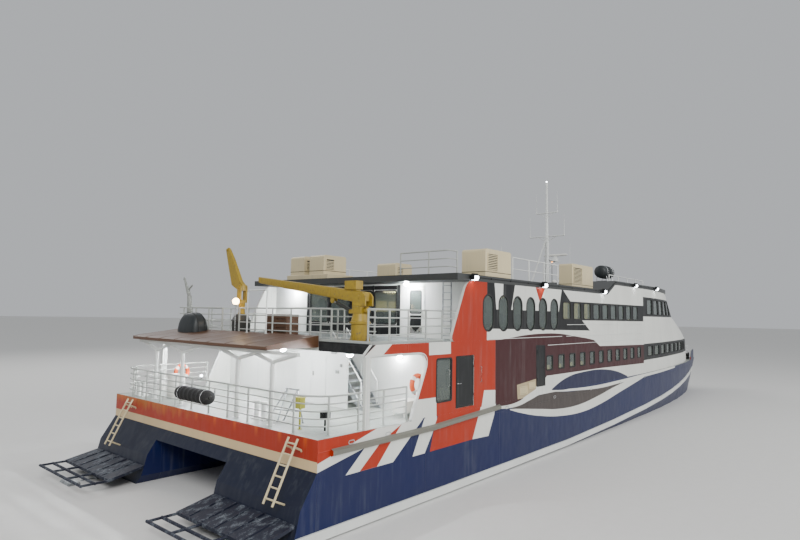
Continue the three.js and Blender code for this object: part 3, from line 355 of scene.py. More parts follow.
# %% [markdown]
# ## Marine enamel
# Ship's sides are welded plate under a gloss enamel that is sprayed, so close up it has a faint
# orange peel, and between frames the plate is a little hollow. Salt water dries in upright
# streaks. The same recipe serves every painted wall: it takes a colour, or a function that
# gives a colour at each place, and adds the streaks, the seams and the peel.

# %% The common recipe for painted plate
PRIMER_SHADE = "#3a3a38"


def weld_seams(add, place, pitch, width=0.018):
    """Height of the weld beads that join plates, on a grid of pitch metres along and up."""
    xyz = add("SeparateXYZ", place).node.outputs
    beads = [add("MapRange", add("Math", xyz[axis], step, operation="PINGPONG"), 0.0, width, 1.0, 0.0)
             for axis, step in ((0, pitch[0]), (2, pitch[1])) if step]
    return beads[0] if len(beads) == 1 else add("Math", *beads, operation="MAXIMUM")


def salt_streaks(add, place, colour, strength, tint="#8f9390"):
    """Upright streaks of dried salt and dirt, 6 to 30 cm apart, over a colour."""
    runs = stretched_noise(add, place, (0.16, 0.16, 2.6), 5.0)
    patches = stretched_noise(add, place, (1.7, 1.7, 0.9), 3.0)
    share = add("Math", add("MapRange", runs, 0.5, 0.78), add("MapRange", patches, 0.35, 0.75),
                operation="MULTIPLY")
    covered = add("Math", share, strength, operation="MULTIPLY")
    return layered(add, colour, (covered, tint)), share


def marine_enamel(name, paint, roughness=0.26, pitch=(1.5, 0), streaks=0.35, hollows=0.012):
    """Sprayed gloss enamel on welded plate: salt streaks, weld beads, hollows and orange peel."""
    material, add, place = start_material(name, Metallic=0.0, Roughness=roughness,
                                          Specular_IOR_Level=0.3)
    colour = paint(add, place) if callable(paint) else paint
    cloud = add("MapRange", stretched_noise(add, place, 2.2, 2.0), 0.3, 0.7, 0.0, 0.12)
    shade = layered(add, colour, (cloud, PRIMER_SHADE))
    stained, share = salt_streaks(add, place, shade, streaks)
    panel = stretched_noise(add, place, (0.55, 0.55, 0.7), 1.0)
    height = add("Math", panel, hollows, operation="MULTIPLY")
    if any(pitch):
        beads = add("Math", weld_seams(add, place, pitch), 0.004, operation="MULTIPLY")
        height = add("Math", height, beads, operation="ADD")
    peel = add("Math", stretched_noise(add, place, 0.03, 2.0), 0.0006, operation="MULTIPLY")
    height = add("Math", height, peel, operation="ADD")
    rough = add("MapRange", share, 0, 1, roughness, roughness + 0.3)
    return coated(material, stained, rough, height, 0.9)


print("enamel recipe ready")

# %% [markdown]
# ## Masking the stripes
# A painter masks each stripe with tape, one straight edge at a time. The graph does the same: an
# edge is a line in the side view, a place is inside a stripe when it lies on the left of every
# edge in turn, and stripes are laid over each other in the order of a table. The tables give
# corners as x and height above the main deck.

# %% Masks for stripes
PAINT = {
    "navy": "#0a1848", "red": "#a82a08", "white": "#e2e3dc", "cream": "#dcc193",
    "maroon": "#3c1216", "black": "#121315", "leaf": "#181d40", "taupe": "#443c39",
    "sand": "#b3a382", "antifouling": "#241d1e", "deck": "#8d948e",
}
EDGE = 0.004


def inside(add, x, z, corners):
    """1 inside an outline without hollows, whose corners run anticlockwise, and 0 outside."""
    point = add("CombineXYZ", x, z, 1.0)
    nearest = None
    for (x0, z0), (x1, z1) in zip(corners, corners[1:] + corners[:1]):
        long = math.hypot(x1 - x0, z1 - z0)
        edge = (-(z1 - z0) / long, (x1 - x0) / long, ((z1 - z0) * x0 - (x1 - x0) * z0) / long)
        gap = add("VectorMath", point, edge, operation="DOT_PRODUCT")
        nearest = gap if nearest is None else add("Math", nearest, gap, operation="MINIMUM")
    return add("MapRange", nearest, -EDGE, EDGE)


def line_height(add, x, points, handle):
    """Height at each x of a line through points. The curve node works from 0 to 1."""
    start, end = points[0][0], points[-1][0]
    curve = add("FloatCurve", Value=add("MapRange", x, start, end))
    mapping = curve.node.mapping
    line = mapping.curves[0]
    while len(line.points) < len(points):
        line.points.new(0.5, 0.5)
    for spot, (along, height) in zip(line.points, points):
        spot.location = ((along - start) / (end - start), (height + 2) / 8)
        spot.handle_type = handle
    mapping.update()
    return add("MapRange", curve, 0, 1, -2, 6)


def wave(add, x, z, top, bottom, handle):
    """1 between two lines over the same stretch of x, and 0 elsewhere."""
    above = add("Math", z, line_height(add, x, bottom, handle), operation="SUBTRACT")
    below = add("Math", line_height(add, x, top, handle), z, operation="SUBTRACT")
    share = add("Math", add("MapRange", above, -EDGE, EDGE), add("MapRange", below, -EDGE, EDGE),
                operation="MULTIPLY")
    (first, _), (last, _) = top[0], top[-1]
    stretch = add("Math", add("MapRange", x, first - EDGE, first + EDGE),
                  add("MapRange", x, last + EDGE, last - EDGE), operation="MULTIPLY")
    return add("Math", share, stretch, operation="MULTIPLY")


def striped(base, stripes, mask=None):
    """Gives a paint function: stripes over a base colour. A stripe is a colour's name and either
    its corners, or its top line, its bottom line and how the lines bend."""
    def paint(add, place):
        xyz = add("SeparateXYZ", place).node.outputs
        above_deck = add("Math", xyz[2], MAIN, operation="SUBTRACT")
        colour = PAINT[base]
        for name, *shape in stripes:
            find = inside if len(shape) == 1 else wave
            share = find(add, xyz[0], above_deck, *shape)
            colour = layered(add, colour, (share, PAINT[name]))
        return mask(add, place, xyz, above_deck, colour) if mask else colour
    return paint


print("paints:", len(PAINT))

# %% [markdown]
# ## The hull's paint
# The hull is navy with red, white and taupe sweeps. Its transom has a cream and red belt, where
# rust has run down from the rail's posts, the deck is grey and gritty where feet have not worn
# it, and the bottom below the water is dark red-brown antifouling.

# %% Stripes of the hull
# Columns: colour, corners as (x, height above the main deck).
HULL_STRIPES = [
    ("white", [(-0.9, -1.15), (3.15, -1.15), (4.78, 0.1), (-0.9, 0.1)]),
    ("navy", [(-0.9, -1.3), (1.0, -1.22), (1.86, -0.5), (-0.9, -1.06)]),
    ("red", [(-0.9, 0.1), (-0.9, -0.88), (2.77, 0.1)]),
    ("red", [(1.66, -1.15), (2.41, -1.15), (3.14, -0.4), (2.62, -0.4)]),
    ("red", [(2.6, -0.42), (3.12, -0.42), (3.55, -0.02)]),
    ("white", [(4.12, -1.15), (4.76, -1.15), (5.42, -0.2), (5.42, 0.1), (4.78, 0.1)]),
    ("red", [(4.76, -1.15), (7.66, -1.13), (8.27, 0.1), (5.42, 0.1), (5.3, -0.3)]),
    ("white", [(7.66, -1.13), (8.78, -1.17), (9.2, -0.42), (9.36, 0.1), (8.27, 0.1)]),
    ("maroon", [(9.36, -0.16), (11.4, -0.16), (11.8, 0.1), (9.36, 0.1)]),
    ("taupe", [(10.6, -0.3), (12.4, 0.1), (16.3, -0.15), (21.58, -0.26), (24.5, -0.22)],
     [(10.6, -0.36), (13.8, -0.72), (17.7, -0.95), (21.0, -0.6), (24.5, -0.23)], "AUTO"),
    ("white", [(9.45, -0.12), (10.95, -0.12), (12.74, 0.24), (14.53, 0.1), (18.76, -0.1), (23.2, -0.1),
               (26.7, -0.04), (40.0, 0.0)],
     [(9.45, -0.22), (11.12, -0.28), (12.18, -0.14), (13.31, 0.02), (16.29, -0.12), (20.12, -0.3),
      (23.15, -0.27), (40.0, -0.06)], "AUTO"),
    ("white", [(10.45, -0.33), (10.95, -0.38), (13.31, -0.65), (14.94, -0.83), (17.23, -0.89),
               (19.55, -0.72), (22.51, -0.39), (25.93, -0.12), (28.4, -0.02)],
     [(10.45, -0.37), (11.81, -0.69), (13.31, -0.96), (15.15, -1.18), (17.71, -1.29), (20.1, -1.15),
      (23.13, -0.78), (26.29, -0.39), (28.4, -0.1)], "AUTO"),
]


def hull_zones(add, place, xyz, above_deck, colour):
    """Stripes show on the outer sides alone. The transom has its belt, and the deck its own paint."""
    normal = add("SeparateXYZ", add("TexCoord").node.outputs["Normal"]).node.outputs
    breadth = add("Math", xyz[1], operation="ABSOLUTE")
    outer = add("MapRange", breadth, 6.0, 6.02)
    strake = add("Math", add("MapRange", breadth, 6.284, 6.286), add("MapRange", xyz[0], 9.7, 9.72, 1, 0),
                 operation="MULTIPLY")
    ragged = add("Math", stretched_noise(add, place, (0.5, 0.35, 0.9), 6.0), 1.1, operation="MULTIPLY")
    rust_edge = add("Math", above_deck, ragged, operation="ADD")
    rust = add("Math", add("MapRange", rust_edge, 0.2, 0.5), add("MapRange", xyz[1], -1.5, 3.5, 0, 0.8),
               operation="MULTIPLY")
    under_posts = add("MapRange", add("Math", xyz[1], 0.575, operation="PINGPONG"), 0.03, 0.12, 0.75, 0)
    runs = add("Math", under_posts, add("MapRange", above_deck, -0.34, -0.06), operation="MULTIPLY")
    belt = layered(add, PAINT["cream"], (add("MapRange", above_deck, -0.6, -0.592), PAINT["red"]),
                   (rust, "#b5691e"), (runs, "#cf5a10"))
    transom = layered(add, "#141b30", (add("MapRange", above_deck, -0.884, -0.876), belt))
    top = add("Math", add("MapRange", normal[2], 0.8, 0.9), add("MapRange", above_deck, -0.03, -0.01),
              operation="MULTIPLY")
    paths = add("MapRange", stretched_noise(add, place, 1.3, 6.0), 0.4, 0.65)
    grit = add("MapRange", stretched_noise(add, place, 0.05, 3.0), 0.35, 0.65)
    gritty = add("Math", grit, 0.35, operation="MULTIPLY")
    deck = layered(add, PAINT["deck"], (paths, "#a9aca5"), (gritty, "#5f6561"))
    aft_face = add("MapRange", normal[0], -0.5, -0.6)
    under_water = add("MapRange", xyz[2], 0.02, -0.02)
    return layered(add, PAINT["navy"], (outer, colour), (strake, "#77766c"), (aft_face, transom),
                   (under_water, PAINT["antifouling"]), (top, deck))


hull_enamel = marine_enamel("hull_enamel", striped("navy", HULL_STRIPES, hull_zones), 0.36, (2.4, 1.2),
                            0.22)
print("hull stripes:", len(HULL_STRIPES))

# %% [markdown]
# ## The saloon's sides
# The house is white. A red bar climbs from the hull to the roof, a dark wave sweeps forward from
# it to the windows, and a black band joins the upper windows into one.

# %% Stripes of the lower and upper sides
LOWER_STRIPES = [
    ("red", [(1.6, -0.1), (9.28, -0.1), (9.28, 2.6), (1.6, 2.6)]),
    ("white", [(3.8, -0.1), (5.4, -0.1), (5.38, 0.64), (3.8, 0.67)]),
    ("navy", [(4.2, -0.1), (4.8, -0.1), (4.76, 0.04)]),
    ("white", [(8.25, -0.1), (9.4, -0.1), (9.28, 0.55), (8.46, 0.61)]),
    ("white", [(1.7, -0.1), (2.2, -0.1), (2.2, 2.17), (1.7, 2.17)]),
    # Painted shade: this black corner under the upper deck's after edge is the shade of that edge on the
    # side.
    ("black", [(1.5, 2.05), (1.74, 2.17), (2.32, 2.58), (1.5, 2.6)]),
    ("white", [(1.7, 2.14), (2.5, 2.14), (3.03, 2.54), (2.28, 2.54)]),
    ("white", [(4.94, 2.1), (6.22, 2.1), (6.21, 2.54), (4.93, 2.54)]),
    ("maroon", [(9.28, 2.6), (16.8, 2.55), (18.3, 2.42), (19.36, 2.3), (20.18, 1.95), (27.7, 1.82)],
     [(9.28, -0.1), (11.0, -0.1), (13.6, 0.66), (13.8, 0.79), (20.15, 0.76), (27.7, 0.64)], "VECTOR"),
    ("sand", [(11.1, -0.1), (12.74, 0.29), (12.74, 0.73), (11.03, 0.6)]),
    # Painted shade: the door's black stands in for the shade of a dark recess in the side.
    ("black", [(12.78, 0.38), (13.66, 0.36), (13.62, 2.2), (12.74, 2.22)]),
    ("leaf", [(14.3, 0.14), (15.84, 0.54), (17.75, 0.7), (21.6, 0.58), (24.4, 0.05)],
     [(14.3, 0.1), (15.6, 0.0), (17.0, -0.06), (21.6, -0.04), (24.4, 0.0)], "AUTO"),
]
UPPER_STRIPES = [
    ("red", [(5.8, 2.5), (8.64, 2.5), (8.64, 5.7), (5.8, 5.7)]),
    ("maroon", [(9.2, 2.49), (10.44, 2.58), (11.82, 2.68), (13.33, 2.72), (14.98, 2.7), (17.3, 2.5)],
     [(9.2, 2.4), (10.4, 2.4), (11.8, 2.4), (13.3, 2.4), (15.0, 2.4), (17.3, 2.4)], "AUTO"),
    ("black", [(8.64, 2.98), (18.83, 2.8), (17.7, 3.4), (15.0, 3.75), (8.64, 3.75)]),
    ("black", [(15.0, 3.5), (17.9, 3.3), (16.36, 4.3), (15.45, 4.9)]),
    ("black", [(15.9, 3.34), (27.7, 3.3), (27.7, 4.3), (16.3, 4.27)]),
    ("black", [(8.64, 3.6), (9.36, 3.6), (9.15, 5.2), (8.64, 5.2)]),
    ("black", [(9.85, 3.6), (10.5, 3.6), (10.98, 5.2), (9.9, 5.2)]),
    ("red", [(13.15, 4.1), (14.0, 5.3), (12.4, 5.3)]),
]
FRONT_BANDS = [
    ("black", [(27.3, 0.82), (48.5, 0.82), (48.5, 1.86), (27.3, 1.86)]),
    ("black", [(27.3, 3.62), (48.5, 3.62), (48.5, 4.88), (27.3, 4.88)]),
]


def white_inside(add, place, xyz, above_deck, colour):
    """The plates are white on their inner side and round their openings."""
    outer = add("MapRange", add("Math", xyz[1], operation="ABSOLUTE"), 6.272, 6.276)
    return layered(add, PAINT["white"], (outer, colour))


SIDE_PITCH = (1.9, 0)
lower_enamel = marine_enamel("lower_side_enamel", striped("white", LOWER_STRIPES, white_inside), 0.4,
                             SIDE_PITCH, 0.3)
upper_enamel = marine_enamel("upper_side_enamel", striped("white", UPPER_STRIPES, white_inside), 0.4,
                             SIDE_PITCH, 0.3)
front_enamel = marine_enamel("front_enamel", striped("white", FRONT_BANDS), 0.4, (1.4, 0), 0.25)
print("side stripes:", len(LOWER_STRIPES) + len(UPPER_STRIPES))

# %% [markdown]
# ## Plain enamels
# The same sprayed enamel in one colour covers bulkheads, rails, roof units and fittings. Tubes
# have no plates, so their pitch is zero and no weld beads are drawn on them.

# %% Enamels in one colour
NO_SEAMS = (0, 0)
white_enamel = marine_enamel("white_enamel", "#e3e4e0", 0.32, (1.25, 0), 0.22, 0.006)
bar_enamel = marine_enamel("railing_enamel", "#dfe1dd", 0.35, NO_SEAMS, 0.15, 0.0)
cream_enamel = marine_enamel("cream_enamel", "#d8c9a2", 0.33, NO_SEAMS, 0.4, 0.008)
rail_enamel = marine_enamel("weathered_rail_enamel", "#b2b5af", 0.36, NO_SEAMS, 0.25, 0.0)
black_enamel = marine_enamel("black_enamel", "#17191b", 0.35, NO_SEAMS, 0.2, 0.006)
print("wall finishes ready")

# %% [markdown]
# ## Crane enamel
# The cranes are brushed with a dull alkyd enamel. Its edges are chipped down to grey primer and
# rust runs from the pins, so the recipe lays primer and rust over the enamel where a fine noise
# is high. Rust is rough, and it breaks the gloss where it has spread.

# %% Chipped enamel for gear on deck
def chipped_enamel(name, colour, chips=0.62, rust="#6b3a1c"):
    """Brushed enamel with chips down to the primer. chips is the noise level where they begin."""
    material, add, place = start_material(name, Metallic=0.0, Roughness=0.42)
    flakes = stretched_noise(add, place, (0.09, 0.09, 0.12), 8.0, 0.7)
    runs = add("MapRange", stretched_noise(add, place, (0.05, 0.05, 0.6)), 0.45, 0.7)
    chipped = add("MapRange", flakes, chips, chips + 0.02)
    near_chips = add("MapRange", flakes, chips - 0.1, chips + 0.1)
    rusty = add("Math", near_chips, runs, operation="MULTIPLY")
    grime = add("MapRange", flakes, 0.3, 0.6, 0, 0.25)
    primed = layered(add, colour, (grime, "#4c4634"), (rusty, rust), (chipped, "#5a564e"))
    step = add("Math", chipped, -0.002, operation="MULTIPLY")
    return coated(material, primed, add("MapRange", rusty, 0, 1, 0.42, 0.85), step, 0.8)


yellow_enamel = chipped_enamel("yellow_crane_enamel", "#a5891f")
grey_enamel = chipped_enamel("grey_davit_enamel", "#9a9d98", 0.66)
dark_enamel = chipped_enamel("dark_base_enamel", "#2c2f2e", 0.66)
brown_enamel = chipped_enamel("brown_awning_enamel", "#59351d", 0.7, "#7a5a3e")
roof_enamel = chipped_enamel("dark_roof_enamel", "#33373a", 0.72)
print("deck gear finishes ready")

# %% [markdown]
# ## Bare alloy, steel and chrome
# Jets, treads and ladders are marine aluminium left bare. Salt dulls it to a soft grey with
# darker blotches. Small fittings are polished stainless steel, and a ram's rod is hard chrome.
# A metal's colour is its reflection, so these have a metallic of one.

# %% Metals
def bare_metal(name, bright, dull, roughness, blotch=0.25):
    """Bare metal with blotches of oxide and a faint brushing along the ship."""
    material, add, place = start_material(name, Metallic=1.0, Roughness=roughness)
    cloud = stretched_noise(add, place, blotch, 6.0)
    brush = stretched_noise(add, place, (0.9, 0.012, 0.012), 2.0)
    dulled = add("MapRange", cloud, 0.4, 0.65)
    rough = add("Math", add("MapRange", cloud, 0.3, 0.7, roughness - 0.08, roughness + 0.16),
                add("Math", brush, 0.06, operation="MULTIPLY"), operation="ADD")
    return coated(material, layered(add, bright, (dulled, dull)), rough,
                  add("Math", brush, 0.001, operation="MULTIPLY"))


marine_alloy = bare_metal("marine_alloy", "#b9bdbf", "#8d9192", 0.42)
stainless_steel = bare_metal("stainless_steel", "#cfd0cf", "#b0b2b2", 0.22, 0.1)
hard_chrome = bare_metal("hard_chrome", "#d6d8da", "#c4c6c8", 0.12, 0.3)
print("metals ready")

# %% [markdown]
# ## Non-slip deck and rubber
# The upper deck is rolled with grit in the paint. The grit is under a millimetre, too fine to
# show, so it is drawn as 12 mm grains, and worn paths and wet patches break it up. Its edge
# towards the stern is pale but painted black as shade to starboard; its underside is a white ceiling.
# Fender rubber and gaskets are extruded black rubber, matt, and scuffed grey along their length.

# %% Deck paint and rubber
GRAIN = 0.012


def gritty_deck_with_shaded_rim(name, colour, worn):
    """Deck paint with grit on top, a pale rim painted black as shade to starboard, and white paint below."""
    material, add, place = start_material(name, Metallic=0.0, Roughness=0.8)
    grains = add("TexVoronoi", Vector=place, Scale=1 / GRAIN)
    paths = stretched_noise(add, place, 1.1, 5.0)
    wet = stretched_noise(add, place, 0.5, 3.0)
    pits = add("MapRange", grains, 0.0, 0.6, 0.25, 0)
    gritty = layered(add, colour, (add("MapRange", paths, 0.4, 0.7), worn), (pits, "#2c2e2c"))
    facing = add("SeparateXYZ", add("TexCoord").node.outputs["Normal"]).node.outputs[2]
    breadth = add("SeparateXYZ", place).node.outputs[1]
    # Painted shade: the rim is black where y is under -3.6 m, for the shaded after edge of the deck, and
    # pale elsewhere.
    sides = layered(add, PAINT["black"], (add("MapRange", breadth, -3.61, -3.59), "#c9cbc6"),
                    (add("MapRange", facing, -0.5, -0.6), "#e6e7e3"),
                    (add("MapRange", facing, 0.5, 0.6), gritty))
    return coated(material, sides, add("MapRange", wet, 0.35, 0.6, 0.55, 0.88),
                  add("Math", grains, 0.002, operation="MULTIPLY"))


def scuffed_rubber(name, colour="#161616"):
    """Matt black rubber with grey scuffs that run along it."""
    material, add, place = start_material(name, Metallic=0.0, Roughness=0.7)
    scuffs = stretched_noise(add, place, (0.4, 0.03, 0.03), 5.0, 0.7)
    grey = add("MapRange", scuffs, 0.52, 0.75, 0, 0.6)
    return coated(material, layered(add, colour, (grey, "#55534f")),
                  height=add("Math", scuffs, 0.003, operation="MULTIPLY"))


upper_deck_grit = gritty_deck_with_shaded_rim("upper_deck_grit", "#7d8480", "#696f6c")
black_rubber = scuffed_rubber("black_rubber")
gasket_rubber = scuffed_rubber("gasket_rubber", "#1b1c1c")
print("deck and rubber ready")

# %% [markdown]
# ## Glass and lit lenses
# The windows are tinted float glass with a little green in it, smooth but for a smear of salt.
# Lamp lenses are pressed glass or acrylic with small facets of 5 cm, and they give light
# themselves. The deck lamps are strongest, because they light the whole after deck.

# %% Glass and lenses
FACET = 0.05


def tinted_glass(name, tint, transmission):
    """Tinted glass with a smear of salt."""
    material, add, place = start_material(name, Metallic=0.0, Roughness=0.04, IOR=1.52,
                                          Transmission_Weight=transmission)
    smear = stretched_noise(add, place, (0.5, 0.5, 0.9))
    salted = add("MapRange", smear, 0.45, 0.75, 0, 0.25)
    return coated(material, layered(add, tint, (salted, "#59605f")),
                  add("MapRange", smear, 0.4, 0.8, 0.03, 0.14))


def lit_lens(name, colour, strength):
    """A lens with small facets that gives light."""
    material, add, place = start_material(name, Metallic=0.0, Roughness=0.25,
                                          Emission_Color=linear(colour), Emission_Strength=strength)
    facets = add("TexVoronoi", Vector=place, Scale=1 / FACET)
    return coated(material, layered(add, colour, (facets, "#ffffff")))


window_glass = tinted_glass("window_glass", "#8d9a94", 0.8)
white_lens = lit_lens("white_lens", "#f4f8ff", 22.0)
deck_lens = lit_lens("deck_lamp_lens", "#f6faff", 1600.0)
strip_lens = lit_lens("ceiling_strip_lens", "#ffe3b0", 30.0)
# The blinds are no lamps: their glow is painted light for the cabin light behind them.
glowing_blind = lit_lens("lit_blind", "#e8cf86", 0.9)
warm_lens = lit_lens("warm_lens", "#ffd9a0", 18.0)
amber_lens = lit_lens("amber_lens", "#ff9a2e", 5.0)
red_lens = lit_lens("red_lens", "#e02a1e", 1.2)
green_lens = lit_lens("green_lens", "#1fae62", 1.2)
print("glass and lenses ready")

# %% [markdown]
# ## Moulded plastics
# Raft covers, drums and the radar's scanner are glass-fibre mouldings with a gel coat: an even
# gloss with slow ripples. The lifebuoys are orange polyethylene, rotationally moulded, with
# bands of reflecting tape.

# %% Gel coat and lifebuoy orange
def gel_coat(name, colour, roughness=0.3, dirt=0.25):
    """Moulded gel coat: an even gloss with slow ripples and streaks of dirt."""
    material, add, place = start_material(name, Metallic=0.0, Roughness=roughness)
    ripple = stretched_noise(add, place, 0.35, 2.0)
    soiled, share = salt_streaks(add, place, colour, dirt, "#77756c")
    return coated(material, soiled, add("MapRange", share, 0, 1, roughness, roughness + 0.3),
                  add("Math", ripple, 0.01, operation="MULTIPLY"))


white_gel = gel_coat("white_gel_coat", "#e4e3dc")
dark_gel = gel_coat("dark_raft_cover", "#23282a", 0.45)
buoy_orange = gel_coat("lifebuoy_orange", "#d8531c", 0.4)
buoy_tape = gel_coat("reflecting_tape", "#dfe0dc", 0.3, 0.1)
seat_shell = gel_coat("seat_shell_blue", "#27406b", 0.5, 0.0)
locker_green = gel_coat("hose_box_yellow_green", "#a8a53a", 0.45)
print("materials in all:", len(bpy.data.materials))

# %% [markdown]
# ## Finishes for the solids
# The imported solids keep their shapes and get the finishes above. A table names the finish for
# each one.

# %% Give every solid its finish
def both(name):
    return [f"{name}_port", f"{name}_starboard"]


FINISHES = [
    (hull_enamel, [*both("hull"), "bridge_deck"]),
    (lower_enamel, both("lower_side")),
    (upper_enamel, both("upper_side")),
    (front_enamel, ["main_front", "wheelhouse_front"]),
    (white_enamel, ["main_aft_bulkhead", "upper_aft_bulkhead", "main_aft_door", "upper_aft_door"]),
    (bar_enamel, [*both("chine_strip"), "deck_frame", "mast", "canopy_frame",
                  "stern_rail", "upper_rail", "roof_rail", "foredeck_rail"]),
    (cream_enamel, [*both("transom_ladder"), *both("roof_unit"), "roof_unit_middle", "roof_unit_fore"]),
    (black_enamel, [*both("shell_door"), *both("roof_lamps")]),
    (yellow_enamel, ["crane_pedestal_starboard", "crane_column_starboard", "crane_boom_starboard",
                     "crane_column_port", "crane_boom_port"]),
    (grey_enamel, ["davit_arm"]),
    (dark_enamel, ["crane_pedestal_port", "crane_ram_starboard", *both("jet_guard")]),
    (brown_enamel, ["aft_canopy", "deck_bench"]),
    (roof_enamel, ["roof_aft", "roof_fore"]),
    (marine_alloy, ["aft_stair", "roof_ladder", *both("waterjet"), *both("steering_nozzle"),
                    *both("reversing_bucket")]),
    (hard_chrome, ["crane_rod_starboard"]),
    (upper_deck_grit, ["upper_deck"]),
    (black_rubber, ["stern_fender"]),
    (dark_gel, ["raft_cover"]),
    (white_gel, ["stern_drum", "radar_scanner"]),
]
for material, names in FINISHES:
    for name in names:
        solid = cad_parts[name]
        solid.data.materials.clear()
        solid.data.materials.append(material)
print("solids finished:", sum(len(names) for _, names in FINISHES))

# %% [markdown]
# ## Window glass and gaskets
# Each window is a pane of tinted glass in a rubber gasket, a profile that grips the plate on its
# outer edge and the glass on its inner edge. The panes sit a few centimetres behind the paint,
# and the gasket stands a centimetre proud of it.

# %% Glaze the flat sides
# Columns: name, first x, pitch, how many, middle above main deck, width, height, corner radius.
WINDOW_ROWS = [
    ("main_window", 14.1, 1.25, 11, 1.37, 0.66, 0.66, 0.08),
    ("oval_window", 8.75, 1.17, 6, 3.6, 0.8, 1.45, 0.395),
    ("upper_window", 16.0, 1.25, 9, 3.8, 0.9, 0.85, 0.12),
    ("tall_window", 5.83, 1.0, 1, 1.2, 0.92, 1.5, 0.08),
]
SALOON_PANES_Y = (-1.55, -0.1, 1.35, 2.8)


def glazed(panes, gaskets, middle, size, corner, face, out, across):
    """Adds one pane and its gasket to a wall. out is 1 or -1, the way that its face looks."""
    width, height = size
    plate(panes, rounded(*middle, width, height, corner, 6), face - 0.045 * out, face - 0.03 * out, across)
    edging(gaskets, middle, (width - 0.07, height - 0.07, max(corner - 0.035, 0.03)),
           (width + 0.05, height + 0.05, corner + 0.025), face - 0.06 * out, face + 0.012 * out, across, 6)


def window_pieces(name, panes, gaskets, bevel=0.006):
    """Hands over a row's panes and its gaskets. name holds {} for what they are."""
    piece(name.format("panes"), panes, window_glass)
    piece(name.format("gaskets"), gaskets, gasket_rubber, bevel=bevel)


for side, s in SIDES.items():
    for name, first, pitch, count, middle, width, height, corner in WINDOW_ROWS:
        panes, gaskets = bmesh.new(), bmesh.new()
        for i in range(count):
            glazed(panes, gaskets, (first + i * pitch, MAIN + middle), (width, height), corner,
                   s * SIDE_Y, s, "y")
        window_pieces(f"{name}_{{}}_{side}", panes, gaskets)
panes, gaskets = bmesh.new(), bmesh.new()
for y in SALOON_PANES_Y:
    glazed(panes, gaskets, (y, UPPER + 1.25), (1.3, 1.45), 0.1, UPPER_WALL_X, -1, "x")
window_pieces("after_saloon_{}", panes, gaskets)
print("rows glazed:", 2 * len(WINDOW_ROWS) + 1)

# %% [markdown]
# ## Windows in the raked front
# The front is a shell of sloping plates, so its panes are bent sheets that follow the same slope.
# The shell's plan at three heights gives the place of any point on its face: the plan's corners
# keep their distance from the centreline, and only their x changes with height.

# %% The front's slope
FRONT_Y = [6.28, 6.14, 5.85, 5.5, 5.0, 3.9, 2.2, 0]
DECK_X = [27.5, 32.0, 36.2, 39.8, 42.6, 44.1, 44.8, 45.0]
SILL_X = [27.5, 32.0, 36.1, 39.6, 42.4, 43.9, 44.6, 44.8]
WAIST_X = [27.5, 31.0, 33.9, 36.4, 38.5, 39.8, 40.4, 40.6]
ROOF_X = [27.5, 30.5, 32.9, 35.0, 36.8, 37.9, 38.5, 38.7]
MAIN_FRONT = ((DECK_X, MAIN), (SILL_X, MAIN + 1.75))
WHEELHOUSE = ((WAIST_X, MAIN + 3.65), (ROOF_X, ROOF_FORE - 0.25))


def plan_at(shell, z):
    """The plan's corners at one height, from the side to the centreline."""
    (low, z0), (high, z1) = shell
    t = (z - z0) / (z1 - z0)
    return [(a + (b - a) * t, y) for a, b, y in zip(low, high, FRONT_Y)]


def face_ahead(shell, y, z):
    """x of the front's face at a distance from the centreline."""
    plan = plan_at(shell, z)
    for (x0, y0), (x1, y1) in zip(plan, plan[1:]):
        if y1 <= abs(y) <= y0:
            return x0 + (x1 - x0) * (y0 - abs(y)) / (y0 - y1)
    return plan[-1][0]


def face_abeam(shell, x, z):
    """Distance of the front's face from the centreline at an x."""
    plan = plan_at(shell, z)
    for (x0, y0), (x1, y1) in zip(plan, plan[1:]):
        if x0 <= x <= x1:
            return y0 + (y1 - y0) * (x - x0) / (x1 - x0)
    return plan[-1][1]


print("front at the middle:", face_ahead(MAIN_FRONT, 0, MAIN), "m")

# %% [markdown]
# ## Panes bent to the slope
# On the real ship these panes are flat sheets on a faceted front. Here each is one thin bent
# sheet of eight columns, so that it follows the solid's face all the way, and its gasket is a
# round bead that runs along its edge like the rubber cord that seals it.

# %% Glaze the front
GASKET_DEPTH = 0.015
PANE_DEPTHS = (0.045, 0.06)
PANE_COLUMNS = 8


def bent_pane(panes, gaskets, spot, u0, u1, z0, z1):
    """A bent pane between two limits, and a gasket round it. spot gives a point for u, z, depth."""
    us = [u0 + (u1 - u0) * i / PANE_COLUMNS for i in range(PANE_COLUMNS + 1)]
    front, back = ([[panes.verts.new(spot(u, z, depth)) for u in us] for z in (z0, (z0 + z1) / 2, z1)]
                   for depth in PANE_DEPTHS)
    walls = [*zip(front, front[1:]), *zip(back, back[1:]), (front[0], back[0]), (front[2], back[2])]
    for end in (0, PANE_COLUMNS):
        walls.append(([row[end] for row in front], [row[end] for row in back]))
    for low, high in walls:
        for i in range(len(low) - 1):
            panes.faces.new((low[i], low[i + 1], high[i + 1], high[i]))
    edge = [(u, z0) for u in us] + [(u1, (z0 + z1) / 2)] + [(u, z1) for u in us[::-1]]
    edge += [(u0, (z0 + z1) / 2)]
    loop = [Vector(spot(u, z, GASKET_DEPTH)) for u, z in edge]
    skin(gaskets, [ring_at(point, loop[(i + 1) % len(loop)] - loop[i - 1], 0.034, 8)
                   for i, point in enumerate(loop)], closed=True)


